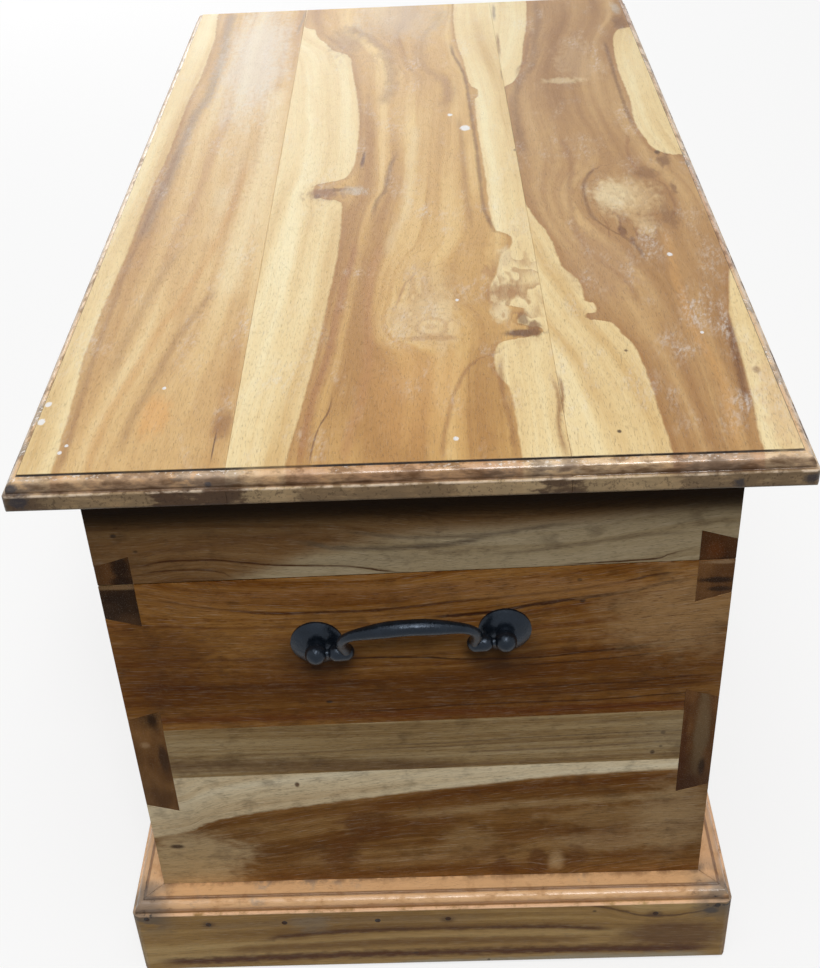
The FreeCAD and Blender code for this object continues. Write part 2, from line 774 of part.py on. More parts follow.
for side, way in (("front", -1), ("back", 1)):
    outline = [(-innerHalf, innerWide * way), (innerHalf, innerWide * way),
               (innerHalf, (innerWide - S.cleatSide) * way), (-innerHalf, (innerWide - S.cleatSide) * way)]
    cleat = solidBoard(f"floor_cleat_{side}", "XY_Plane", cleatUp, S.cleatSide, outline)
    drill(cleat, "XZ_Plane", nothing, [(across, cleatUp) for across in sideCleatScrews], S.screwRadius)
    drill(cleat, "XY_Plane", floorUnder - floorNailGrip / 2,
          [(across, floorNailAlong * way) for across in floorNails], S.nailRadius, floorNailGrip)
for end, way in (("near", 1), ("far", -1)):
    reach = innerWide - S.cleatSide
    outline = [(innerHalf * way, -reach), (innerHalf * way, reach),
               ((innerHalf - S.cleatSide) * way, reach), ((innerHalf - S.cleatSide) * way, -reach)]
    cleat = solidBoard(f"floor_cleat_{end}", "XY_Plane", cleatUp, S.cleatSide, outline)
    drill(cleat, "YZ_Plane", nothing, [(along, cleatUp) for along in endCleatScrews], S.screwRadius)

floorTop = floorUnder + S.floorThick
for number, centre in enumerate(boardCentres, start=1):
    outline = [(centre - floorHalf, -floorReach), (centre + floorHalf, -floorReach),
               (centre + floorHalf, floorReach), (centre - floorHalf, floorReach)]
    board = solidBoard(f"floor_board_{number}", "XY_Plane", floorTop - S.floorThick / 2, S.floorThick, outline)
    spots = [(centre + (floorHalf - S.floorNailIn) * side, floorNailAlong * way)
             for side in (-1, 1) for way in (-1, 1)]
    drill(board, "XY_Plane", nothing, spots, S.nailRadius)
    drill(board, "XY_Plane", floorTop - S.nailHeadThick / 2, spots, S.nailHead, S.nailHeadThick)

floorNail = nail("floor_nail", S.floorNailLong)
fasteners("floor_nails", floorNail,
          [("+Z", across, floorNailAlong * way, floorTop) for across in floorNails for way in (-1, 1)])
cleatScrew = woodScrew("cleat_screw", S.cleatSide + S.screwGrip)
cleatSeat = innerHalf - S.cleatSide
cleatSeatWide = innerWide - S.cleatSide
cleatSpots = [(facing, cleatSeat * way, along, cleatUp)
              for facing, way in (("-X", 1), ("+X", -1)) for along in endCleatScrews]
cleatSpots += [(facing, across, cleatSeatWide * way, cleatUp)
               for facing, way in (("-Y", 1), ("+Y", -1)) for across in sideCleatScrews]
fasteners("floor_cleat_screws", cleatScrew, cleatSpots)


# --- bail handles ------------------------------------------------------------------------------------

def rose(label, handle, side):
    """Domed rose with a ball boss and a threaded stud, bored on its inner side for the bail."""
    stud = S.wallThick + S.washerThick + S.nutThick + S.studSpare
    body = newBody(label)
    sketch = sketchOn(body, "XY_Plane")
    neckTop = S.pivotOut - S.bossRadius / 2
    outline = [(-stud, nothing), (-stud, S.studRadius), (nothing, S.studRadius), (nothing, S.roseRadius),
               (S.roseEdge, S.roseRadius), (S.roseCrown, S.bossRadius, S.roseDome, -1),
               (S.roseCrown, S.bossNeck), (neckTop, S.bossNeck), (neckTop, nothing)]
    drawLoop(sketch, outline)
    dome = body.newObject("PartDesign::Revolution", f"{label}_dome")
    dome.Profile = sketch
    dome.ReferenceAxis = (sketch, ["H_Axis"])
    ballSketch = sketchOn(body, "XY_Plane")
    drawLoop(ballSketch, [(S.pivotOut - S.bossRadius, nothing),
                          (S.pivotOut, S.bossRadius, S.bossRadius, -1),
                          (S.pivotOut + S.bossRadius, nothing, S.bossRadius, -1)])
    ball = body.newObject("PartDesign::Revolution", f"{label}_ball")
    ball.Profile = ballSketch
    ball.ReferenceAxis = (ballSketch, ["H_Axis"])
    depth = S.bossRadius + spare
    drill(body, "XZ_Plane", -depth / 2 * side, [(S.pivotOut, nothing)], S.bailPin + S.bailFit, depth)
    return handle.seat(body, S.handleSpan * side / 2)


# The bail's bow: along the pivot line and up from it as shares of its half span and rise, the way it
# leans in degrees from straight up, and its thickness there.
bowStations = (
    (1.00, 0.00, 0, S.bowFoot),
    (1.02, 0.33, 4, (S.bowFoot + S.bowNeck) / 2),
    (0.99, 0.58, 26, S.bowNeck),
    (0.87, 0.76, 58, S.bowNeck),
    (0.62, 0.88, 76, (S.bowNeck + S.bowGrip) / 2),
    (0.32, 0.965, 83, S.bowGrip),
)


def bail(label, handle):
    """Two pins, two thick knuckles and a tapered bow between them, raised by the bail angle."""
    pinEnd = S.handleSpan / 2 - S.bailGap
    knuckleFace = S.handleSpan / 2 - S.bossRadius - S.bailGap
    knuckleOuter = knuckleFace - S.knuckleRadius
    knuckleInner = knuckleFace - S.knuckleLong
    pieces = []
    for side in (-1, 1):
        parts = (("pin", S.bailPin, knuckleOuter, pinEnd), ("knuckle", S.knuckleRadius, knuckleInner, knuckleOuter))
        for part, radius, start, stop in parts:
            bar = cylinder(f"{label}_{part}", radius, stop - start)
            turned(bar, (1, 0, 0), -90 * side)
            pieces.append(place(bar, S.pivotOut, start * side, nothing))
        for start in (knuckleInner, knuckleOuter):
            ball = doc.addObject("Part::Sphere", f"{label}_ball")
            bind(ball, "Radius", S.knuckleRadius)
            pieces.append(place(ball, S.pivotOut, start * side, nothing))
    rings = []
    mirrored = [(-along, rise, 180 - lean, radius) for along, rise, lean, radius in reversed(bowStations)]
    for along, rise, lean, radius in [*bowStations, (0, 1, 90, S.bowGrip), *mirrored]:
        ring = doc.addObject("Part::Circle", f"{label}_ring")
        bind(ring, "Radius", radius)
        ring.Placement = FreeCAD.Placement(FreeCAD.Vector(), FreeCAD.Rotation(-lean, 90, 0))
        rings.append(place(ring, S.bowRise * rise, knuckleInner * along, nothing))
    bow = doc.addObject("Part::Loft", f"{label}_bow")
    bow.Sections = rings
    bow.Solid = True
    turned(bow, (0, -1, 0), S.bailAngle.value)
    bind(bow, "Placement.Rotation.Angle", S.bailAngle)
    bind(bow, "Placement.Base.x", S.pivotOut)
    return handle.seat(keep(joined(label, bow, *pieces), label))


def studRings(label, handle, shape, radius, thickness, start, bore):
    """The washers or nuts of one handle, on the studs inside the chest."""
    rings = []
    for side in (-1, 1):
        outer = doc.addObject(shape, f"{label}_outer")
        bind(outer, "Circumradius" if shape == "Part::Prism" else "Radius", radius)
        bind(outer, "Height", thickness)
        inner = cylinder(f"{label}_bore", bore, thickness)
        ring = doc.addObject("Part::Cut", f"{label}_ring")
        ring.Base = outer
        ring.Tool = inner
        turned(ring, (0, 1, 0), -90)
        rings.append(place(ring, -start, S.handleSpan * side / 2, nothing))
    return handle.seat(group(label, rings))


for end, handle in ends.items():
    for side, way in (("front", -1), ("back", 1)):
        rose(f"{end}_rose_{side}", handle, way * handle.end)
    bail(f"{end}_bail", handle)
    studRings(f"{end}_rose_washers", handle, "Part::Cylinder", S.washerRadius, S.washerThick,
              S.wallThick, S.studRadius + S.studFit)
    studRings(f"{end}_rose_nuts", handle, "Part::Prism", S.nutRadius, S.nutThick,
              S.wallThick + S.washerThick, S.studRadius + S.nutFit)


# --- hinges ------------------------------------------------------------------------------------------

knuckles = 5
stationLong = S.leafWide / knuckles
stations = spread(knuckles, stationLong)


def hingeLeaf(label, centre, way, own):
    """A flat leaf with knuckles. way is 1 for the leaf on the lid."""
    half = S.leafWide / 2
    near = hingeUp + leafStart * way
    outline = [(-half, near), (half, near),
               (half, near + S.leafHigh * way), (-half, near + S.leafHigh * way)]
    leafMiddle = halfWide + S.leafThick / 2
    body = solidBoard(label, "XZ_Plane", leafMiddle, S.leafThick, outline)
    knuckleLong = stationLong - S.barrelGap
    for station in own:
        tab = [(station - knuckleLong / 2, hingeUp), (station + knuckleLong / 2, hingeUp),
               (station + knuckleLong / 2, near + S.leafThick * way),
               (station - knuckleLong / 2, near + S.leafThick * way)]
        pad(body, drawLoop(sketchOn(body, "XZ_Plane", leafMiddle), tab), S.leafThick)
        barrel = drawCircle(sketchOn(body, "YZ_Plane", station), hingeAlong, hingeUp, S.barrelRadius)
        pad(body, barrel, knuckleLong)
    drill(body, "YZ_Plane", nothing, [(hingeAlong, hingeUp)], S.hingePin + S.hingeFit)
    drill(body, "XZ_Plane", leafMiddle, leafScrewSpots(way), S.screwRadius + S.leafHoleFit, S.leafThick)
    bind(body, "Placement.Base.x", centre)


leafFace = halfWide + S.leafThick
for end, centre in zip(("near", "far"), hingePlaces):
    hingeLeaf(f"hinge_{end}_box_leaf", centre, -1, stations[0::2])
    hingeLeaf(f"hinge_{end}_lid_leaf", centre, 1, stations[1::2])
    pinLong = S.leafWide + S.hingePinSpare * 2
    pin = cylinder(f"hinge_{end}_pin", S.hingePin, pinLong)
    turned(pin, (0, 1, 0), 90)
    keep(place(pin, centre - pinLong / 2, hingeAlong, hingeUp), f"hinge_{end}_pin")

leafScrew = woodScrew("leaf_screw", S.leafThick + S.screwGrip)
for part, way in (("box", -1), ("lid", 1)):
    fasteners(f"hinge_{part}_screws", leafScrew,
              [("+Y", centre + across, leafFace, up)
               for centre in hingePlaces for across, up in leafScrewSpots(way)])


# --- lid stay ----------------------------------------------------------------------------------------
# Both stay pivots lie the same distance from the hinge line, so the arm turns on the lid by half of
# the lid's angle while its slot slides along the lower screw.

armStart = -innerHalf + S.stayStandoff + S.stayEndPlay
slotNear = S.stayReach * 2 * sine(S.stayAngle)
slotFar = S.stayReach * 2 * sine(S.stayAngle + S.lidOpen / 2)
slotHalf = S.stayPin + S.slotFit


def roundedBar(top, foot, half):
    """A bar with round ends, its end centres at heights top and foot."""
    return [(stayAlong - half, foot), (stayAlong, foot - half, half, 1),
            (stayAlong + half, foot, half, 1), (stayAlong + half, top),
            (stayAlong, top + half, half, 1), (stayAlong - half, top, half, 1)]


stayArm = solidBoard("stay_arm", "YZ_Plane", armStart + S.stayThick / 2, S.stayThick,
                     roundedBar(stayTopUp, stayTopUp - slotFar, S.stayHalf))
slot = drawLoop(sketchOn(stayArm, "YZ_Plane"),
                roundedBar(stayTopUp - slotNear, stayTopUp - slotFar, slotHalf))
pocket(stayArm, slot)
drill(stayArm, "YZ_Plane", nothing, [(stayAlong, stayTopUp)], S.stayPin + S.stayFit)

for label, up in (("stay_lid_screw", stayTopUp), ("stay_box_screw", stayPinUp)):
    pinLong = S.stayStandoff + S.stayThick + S.stayEndPlay * 2
    thread = cylinder(f"{label}_thread", S.screwRadius, S.stayGrip, -S.stayGrip)
    collar = cylinder(f"{label}_collar", S.stayCollar, S.stayStandoff)
    shoulder = cylinder(f"{label}_shoulder", S.stayPin, pinLong)
    head = cylinder(f"{label}_head", S.stayCollar, S.stayHeadThick, pinLong)
    screw = joined(label, thread, collar, shoulder, head)
    turned(screw, *facings["+X"])
    keep(place(screw, -innerHalf, stayAlong, up), label)


# --- check and write ---------------------------------------------------------------------------------

doc.recompute()
faults = [thing.Name for thing in doc.Objects if {"Invalid", "Error"} & set(thing.State)]
if faults:
    raise RuntimeError(f"failed objects: {faults}")
os.makedirs("parts", exist_ok=True)
for label, thing in nodes.items():
    if thing.Shape.isNull() or not thing.Shape.isValid():
        raise RuntimeError(f"bad shape: {label}")
for label, thing in nodes.items():
    thing.Shape.exportStep(f"parts/{label}.step")
print(f"{len(nodes)} nodes")
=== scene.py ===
import bpy
import bmesh
import json
import math
from mathutils import Matrix, Vector


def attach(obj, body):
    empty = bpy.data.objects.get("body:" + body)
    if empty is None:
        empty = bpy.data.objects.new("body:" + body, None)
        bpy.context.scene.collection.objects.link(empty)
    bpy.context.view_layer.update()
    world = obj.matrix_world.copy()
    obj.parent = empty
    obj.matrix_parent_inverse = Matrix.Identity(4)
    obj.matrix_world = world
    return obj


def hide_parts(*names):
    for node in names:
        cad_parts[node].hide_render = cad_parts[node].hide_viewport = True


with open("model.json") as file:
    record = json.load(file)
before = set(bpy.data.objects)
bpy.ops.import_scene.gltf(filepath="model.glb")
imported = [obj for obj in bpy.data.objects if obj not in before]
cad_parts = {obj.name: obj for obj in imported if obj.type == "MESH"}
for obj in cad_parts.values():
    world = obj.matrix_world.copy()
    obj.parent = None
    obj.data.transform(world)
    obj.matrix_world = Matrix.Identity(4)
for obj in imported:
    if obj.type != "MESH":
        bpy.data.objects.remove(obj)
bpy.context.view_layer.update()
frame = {"nodes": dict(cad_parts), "record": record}
scene = bpy.context.scene
scene.view_settings.view_transform = "Standard"


# camera, looking down at the near end
camera = {
    "place": (1.19341, 0.02272, 1.01108),
    "yaw": 1.75,       # degrees off looking straight along -X
    "pitch": 35.47,    # degrees down
    "roll": -2.92,
    "lens": 51.27,
}


def addCamera(look):
    data = bpy.data.cameras.new("camera")
    data.lens = look["lens"]
    view = bpy.data.objects.new("camera", data)
    scene.collection.objects.link(view)
    yaw, pitch, roll = [math.radians(look[name]) for name in ("yaw", "pitch", "roll")]
    level = Vector((-math.cos(yaw), -math.sin(yaw), 0))
    right = level.cross(Vector((0, 0, 1)))
    forward = level * math.cos(pitch) - Vector((0, 0, 1)) * math.sin(pitch)
    up = right.cross(forward)
    sideways = right * math.cos(roll) + up * math.sin(roll)
    upright = up * math.cos(roll) - right * math.sin(roll)
    turn = Matrix((sideways, upright, -forward)).transposed().to_4x4()
    view.matrix_world = Matrix.Translation(look["place"]) @ turn
    scene.camera = view


addCamera(camera)
print("camera set")


class Wire:    # a number, colour or vector on its way through a node tree

    def __init__(self, paint, socket):
        self.paint = paint
        self.socket = socket

    def calc(self, operation, *others, swapped=False):
        values = [*others, self] if swapped else [self, *others]
        return self.paint.node("ShaderNodeMath", {"operation": operation}, dict(enumerate(values)))

    def __add__(self, other):
        return self.calc("ADD", other)

    def __radd__(self, other):
        return self.calc("ADD", other, swapped=True)

    def __sub__(self, other):
        return self.calc("SUBTRACT", other)

    def __rsub__(self, other):
        return self.calc("SUBTRACT", other, swapped=True)

    def __mul__(self, other):
        return self.calc("MULTIPLY", other)

    def __rmul__(self, other):
        return self.calc("MULTIPLY", other, swapped=True)

    def __truediv__(self, other):
        return self.calc("DIVIDE", other)

    def __rtruediv__(self, other):
        return self.calc("DIVIDE", other, swapped=True)

    def __pow__(self, other):
        return self.calc("POWER", other)

    def __abs__(self):
        return self.calc("ABSOLUTE")

    def least(self, other):
        return self.calc("MINIMUM", other)

    def most(self, other):
        return self.calc("MAXIMUM", other)

    def slide(self, low, high, start=0.0, stop=1.0, style="LINEAR"):
        # runs from start at low to stop at high, and stays there
        sockets = {"Value": self, "From Min": low, "From Max": high, "To Min": start, "To Max": stop}
        return self.paint.node("ShaderNodeMapRange", {"interpolation_type": style}, sockets)

    def step(self, low, high):
        # a soft step from 0 at low to 1 at high, whichever of them is greater
        return self.slide(low, high, style="SMOOTHSTEP")

    def between(self, rise, fall):
        # 1 in a strip, with a soft step up at rise and down at fall
        return self.step(*rise) * self.step(*fall)


class Paint:    # the nodes of a material, of the world or, with inputs, of a node group

    def __init__(self, name, inputs=(), world=None):
        if inputs:
            self.tree = bpy.data.node_groups.new(name, "ShaderNodeTree")
            for label in inputs:
                self.tree.interface.new_socket(label, in_out="INPUT", socket_type="NodeSocketFloat")
            self.tree.interface.new_socket("result", in_out="OUTPUT", socket_type="NodeSocketFloat")
            entry = self.tree.nodes.new("NodeGroupInput")
            self.inputs = [Wire(self, entry.outputs[label]) for label in inputs]
        else:
            self.made = world or bpy.data.materials.new(name)
            self.made.use_nodes = True
            self.tree = self.made.node_tree
            self.tree.nodes.clear()

    def node(self, kind, settings=None, sockets=None, output=0):
        made = self.tree.nodes.new(kind)
        for name, value in (settings or {}).items():
            if name == "curve":
                self.drawCurve(made.mapping, value)
            elif name == "stops":
                self.drawStops(made.color_ramp, value)
            else:
                setattr(made, name, value)
        for name, value in (sockets or {}).items():
            if isinstance(value, Wire):
                self.tree.links.new(value.socket, made.inputs[name])
            else:
                made.inputs[name].default_value = value
        if made.outputs:
            return Wire(self, made.outputs[output])

    def drawCurve(self, mapping, spots):
        points = mapping.curves[0].points
        points[0].location, points[-1].location = spots[0], spots[-1]
        for spot in spots[1:-1]:
            points.new(*spot)
        for point in points:
            point.handle_type = "AUTO_CLAMPED"
        mapping.update()

    def drawStops(self, ramp, stops):
        for extra in range(len(stops) - 2):
            ramp.elements.new(0.5)
        for element, (spot, colour) in zip(ramp.elements, stops):
            element.position = spot
            element.color = colour

    def place(self):
        # the piece's own coordinates, in millimetres
        spot = self.node("ShaderNodeTexCoord", output="Object")
        return [self.node("ShaderNodeSeparateXYZ", {}, {0: spot}, output=axis) * 1000 for axis in range(3)]

    def noise(self, x, y, z, detail=2.0, rough=0.5):
        spot = self.node("ShaderNodeCombineXYZ", {}, {0: x, 1: y, 2: z})
        sockets = {"Vector": spot, "Scale": 1.0, "Detail": detail, "Roughness": rough}
        return self.node("ShaderNodeTexNoise", {}, sockets)

    def mix(self, first, second, share):
        settings = {"data_type": "RGBA", "clamp_factor": True}
        return self.node("ShaderNodeMix", settings, {0: share, 6: first, 7: second}, output=2)

    def ramp(self, value, stops):
        return self.node("ShaderNodeValToRGB", {"stops": stops}, {0: value})

    def line(self, value, points, span):
        # the height of a drawn line at value; span is where value runs
        start, stop = span
        heights = [height for spot, height in points]
        low, high = min(heights) - 1, max(heights) + 1
        spots = [((spot - start) / (stop - start), (height - low) / (high - low)) for spot, height in points]
        if spots[0][0] > 0.001:
            spots.insert(0, (0.0, spots[0][1]))
        if spots[-1][0] < 0.999:
            spots.append((1.0, spots[-1][1]))
        height = self.node("ShaderNodeFloatCurve", {"curve": spots}, {"Value": value.slide(start, stop)})
        return height.slide(0, 1, low, high)

    def seen(self):
        # 1 where it is seen straight, in a reflection or through something clear
        camera, glossy, clear = [self.node("ShaderNodeLightPath", output=name)
                                 for name in ("Is Camera Ray", "Is Glossy Ray", "Is Transmission Ray")]
        return camera.most(glossy).most(clear)

    def use(self, group, *values):
        return self.node("ShaderNodeGroup", {"node_tree": group.tree}, dict(enumerate(values)))

    def result(self, value):
        self.node("NodeGroupOutput", {}, {0: value})
        return self

    def finish(self, colour, rough, height, depth=0.0003, **fixed):
        # depth is how deep the bumps are, in metres
        bump = self.node("ShaderNodeBump", {}, {"Height": height, "Distance": depth})
        sockets = {"Base Color": colour, "Roughness": rough, "Normal": bump}
        sockets.update({name.replace("_", " "): value for name, value in fixed.items()})
        shader = self.node("ShaderNodeBsdfPrincipled", {}, sockets)
        self.node("ShaderNodeOutputMaterial", {}, {0: shader})
        return self.made


def tone(red, green, blue):
    # a colour given as the screen's 0 to 255
    line = [part / 255 for part in (red, green, blue)]
    return (*[part / 12.92 if part < 0.04045 else ((part + 0.055) / 1.055) ** 2.4 for part in line], 1)


# studio: pale floor, soft light from above, a low panel behind for the sheen on the lid
studio = {
    "floorSize": 40,
    "floorSeen": tone(247, 247, 247),
    "floorGlow": 0.7,    # share of plain white in the floor as it is seen
    "mottle": 0.05,      # how far its tone varies
    "mottleSize": 400,
    "floorBounce": (0.03, 0.027, 0.024, 1),    # the floor as the chest's underside sees it
    "roomLight": 0.12,
    "sun": {"power": 1.36, "spread": 50, "lean": (0.12, 0.03)},
    "lamps": {
        "front": {"place": (3.4, 0.4, 4.35), "aim": (0.46, 0, 0.3), "size": (1.6, 1.1), "power": 106},
        "behind": {"place": (-3.3, -1.2, 1.45), "aim": (-0.4, -0.1, 0.5), "size": (3.0, 1.1), "power": 29},
    },
}


def aimLight(light, place, aim):
    way = Vector(aim) - Vector(place)
    light.matrix_world = Matrix.Translation(place) @ way.to_track_quat("-Z", "Y").to_matrix().to_4x4()


def addLights():
    for name, lamp in studio["lamps"].items():
        data = bpy.data.lights.new(f"lamp_{name}", "AREA")
        data.shape = "RECTANGLE"
        data.size, data.size_y = lamp["size"]
        data.energy = lamp["power"]
        light = bpy.data.objects.new(f"lamp_{name}", data)
        scene.collection.objects.link(light)
        aimLight(light, lamp["place"], lamp["aim"])
    data = bpy.data.lights.new("lamp_above", "SUN")
    data.energy = studio["sun"]["power"]
    data.angle = math.radians(studio["sun"]["spread"])
    light = bpy.data.objects.new("lamp_above", data)
    scene.collection.objects.link(light)
    across, along = studio["sun"]["lean"]
    aimLight(light, (across * 4, along * 4, 4), (0, 0, 0))


def addWorld():
    scene.world = bpy.data.worlds.new("studio")
    paint = Paint("studio", world=scene.world)
    level = paint.seen().slide(0, 1, studio["roomLight"], 1)
    sky = paint.node("ShaderNodeBackground", {}, {"Color": (1, 1, 1, 1), "Strength": level})
    paint.node("ShaderNodeOutputWorld", {}, {0: sky})


def addFloor():
    paint = Paint("studio_floor")
    x, y, z = paint.place()
    mottle = paint.noise(x / studio["mottleSize"], y / studio["mottleSize"], z) * studio["mottle"]
    pale = paint.mix(studio["floorSeen"], (1, 1, 1, 1), mottle)
    bounce, plain = [paint.node("ShaderNodeBsdfDiffuse", {}, {"Color": colour})
                     for colour in (studio["floorBounce"], pale)]
    glow = paint.node("ShaderNodeEmission", {}, {"Color": (1, 1, 1, 1), "Strength": 1.0})
    shown = paint.node("ShaderNodeMixShader", {}, {0: studio["floorGlow"], 1: plain, 2: glow})
    both = paint.node("ShaderNodeMixShader", {}, {0: paint.seen(), 1: bounce, 2: shown})
    paint.node("ShaderNodeOutputMaterial", {}, {0: both})
    bpy.ops.object.select_all(action="DESELECT")
    bpy.ops.mesh.primitive_plane_add(size=studio["floorSize"])
    floor = bpy.context.object
    floor.name = "studio_floor"
    floor.data.materials.append(paint.made)


addLights()
addWorld()
addFloor()
print("studio set")


# boards with their arrises eased stand in for the sharp ones
arrises = {    # how wide each kind of piece is eased, in metres
    "lid_board": 0.0006, "lid_skirt": 0.0004, "lid_batten": 0.0012, "near_end": 0.0004, "far_end": 0.0004,
    "front_board": 0.0004, "back_board": 0.0004, "plinth": 0.0007, "floor_board": 0.0010,
    "floor_cleat": 0.0010,
}
cornerWear = {    # radius of the worn upright corners and how many flats make it
    "plinth": {"x": 0.478, "y": 0.246, "radius": 0.007, "flats": 6},
    "lid_board": {"x": 0.490, "y": 0.258, "radius": 0.004, "flats": 5},
}
arrisLeast = 0.004    # shorter edges are left sharp
bodyOf = {node: body for body, nodes in frame["record"]["behaviour"]["bodies"].items() for node in nodes}
wornPieces = {}


def roundCorners(wear):
    # cuts flats off the upright corners of the piece in edit mode
    radius = wear["radius"]
    for wayX in (-1, 1):
        for wayY in (-1, 1):
            for flat in range(wear["flats"]):
                turn = math.radians(90 * (flat + 0.5) / wear["flats"])
                outward = (math.cos(turn) * wayX, math.sin(turn) * wayY, 0)
                spot = ((wear["x"] - radius) * wayX + outward[0] * radius,
                        (wear["y"] - radius) * wayY + outward[1] * radius, 0)
                bpy.ops.mesh.select_all(action="SELECT")
                bpy.ops.mesh.bisect(plane_co=spot, plane_no=outward, use_fill=True, clear_outer=True)


def pickArrises(piece):
    # the long sharp edges, so that nail and screw holes keep theirs
    bpy.ops.mesh.select_mode(type="EDGE")
    bpy.ops.mesh.select_all(action="DESELECT")
    shape = bmesh.from_edit_mesh(piece.data)
    for edge in shape.edges:
        sharp = len(edge.link_faces) == 2 and edge.calc_face_angle() > math.radians(40)
        edge.select_set(sharp and edge.calc_length() > arrisLeast)
    bmesh.update_edit_mesh(piece.data)


def easeBoard(name, width, wear=None):
    piece = bpy.data.objects.new("worn_" + name, frame["nodes"][name].data.copy())
    scene.collection.objects.link(piece)
    bpy.ops.object.select_all(action="DESELECT")
    piece.select_set(True)
    bpy.context.view_layer.objects.active = piece
    bpy.ops.mesh.customdata_custom_splitnormals_clear()
    bpy.ops.object.mode_set(mode="EDIT")
    bpy.ops.mesh.select_all(action="SELECT")
    bpy.ops.mesh.mark_sharp(clear=True)
    bpy.ops.mesh.remove_doubles(threshold=0.000002)
    if wear:
        roundCorners(wear)
    pickArrises(piece)
    bpy.ops.mesh.bevel(offset=width, segments=2, affect="EDGES")
    bpy.ops.object.mode_set(mode="OBJECT")
    bpy.ops.object.shade_smooth_by_angle(angle=math.radians(20))
    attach(piece, bodyOf[name])
    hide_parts(name)
    wornPieces[name] = piece


for name in frame["nodes"]:
    for kind, width in arrises.items():
        if name.startswith(kind) and not name.endswith(("screws", "nails")):
            easeBoard(name, width, cornerWear.get(kind))
print("boards eased")


# wood: one recipe for every board, with a dictionary for each
teak = {
    "sap": (tone(220, 184, 124), tone(241, 214, 158), tone(252, 235, 188)),    # dark, middle, pale
    "edge": tone(166, 116, 66),        # the dark line inside the sapwood
    "scuff": tone(240, 236, 230),
    "pore": (0.02, 0.008, 0.003, 1),
    "shine": (1, 0.92, 0.78, 1),
    "rough": 0.36,
}
letters = {"x": 0, "y": 1, "z": 2}


def ovalGroup():
    # 1 inside an oval round a, c, falling to 0 at its ragged rim
    paint = Paint("oval", ("along", "across", "a", "c", "longways", "crossways", "stray", "rim", "core"))
    along, across, a, c, longways, crossways, stray, rim, core = paint.inputs
    off = (((along - a) / longways) ** 2 + ((across - c) / crossways) ** 2) ** 0.5 + stray
    return paint.result(off.step(rim, core))


def streakGroup():
    # 1 along a drawn line from start to stop, falling to 0 at half its width
    paint = Paint("streak", ("along", "across", "line", "start", "stop", "half", "stray"))
    along, across, line, start, stop, half, stray = paint.inputs
    fade = ((stop - start) / 3).least(30)
    near = (abs(across - line) + stray * half).step(half, 0)
    return paint.result(near * along.step(start, start + fade) * along.step(stop, stop - fade))


def bulgeGroup():
    # grain pushed aside round a, c
    paint = Paint("bulge", ("flow", "along", "across", "a", "c", "longways", "crossways", "push"))
    flow, along, across, a, c, longways, crossways, push = paint.inputs
    near = ((along - a) / longways) ** 2 + ((across - c) / crossways) ** 2
    return paint.result(flow - (near * -0.5).calc("EXPONENT") * (across - c) * push)


def bandGroup():
    # carries the grain from one drawn line to the next
    paint = Paint("band", ("flow", "across", "low", "high", "rise"))
    flow, across, low, high, rise = paint.inputs
    return paint.result(flow + ((across - low) / (high - low)).slide(0, 1) * rise)


def sapwoodGroup():
    # 1 past a line, on the side given
    paint = Paint("sapwood", ("across", "line", "side", "soft"))
    across, line, side, soft = paint.inputs
    return paint.result(((across - line) * side).step(soft * -1, soft))


oval, streakMask, bulge, band, past = ovalGroup(), streakGroup(), bulgeGroup(), bandGroup(), sapwoodGroup()


# what a board is where its own dictionary doesn't say; places and widths in millimetres
boardLook = {
    "level": 0, "span": (-500, 500), "sap": teak["sap"], "crisp": 0.14, "edge": 0.75, "soft": 1.1,
    "flow": [], "bulges": [], "sapwood": [], "streaks": [], "spots": [], "veins": [], "rings": [],
    "dashes": None, "ends": None,
}
marks = {    # length, thickness and depth of each kind of mark, then its detail and roughness
    "ragged": (9, 5, 9, 2, 0.5),
    "wander": (70, 16, 16, 2, 0.5),
    "tint": (330, 34, 60, 1, 0.5),
    "thin": (420, 1.5, 7, 2, 0.6),
    "fibre": (15, 0.55, 0.8, 2, 0.6),
    "pore": (5, 0.42, 0.5, 1, 0.5),
    "dapple": (26, 13, 13, 3, 0.6),
    "dash": (11, 1.3, 4, 2, 0.6),
    "figure": (62, 27, 30, 2, 0.5),
    "speckle": (3, 1.1, 1.1, 2, 0.7),
    "cloud": (9, 34, 16, 2, 0.5),
}


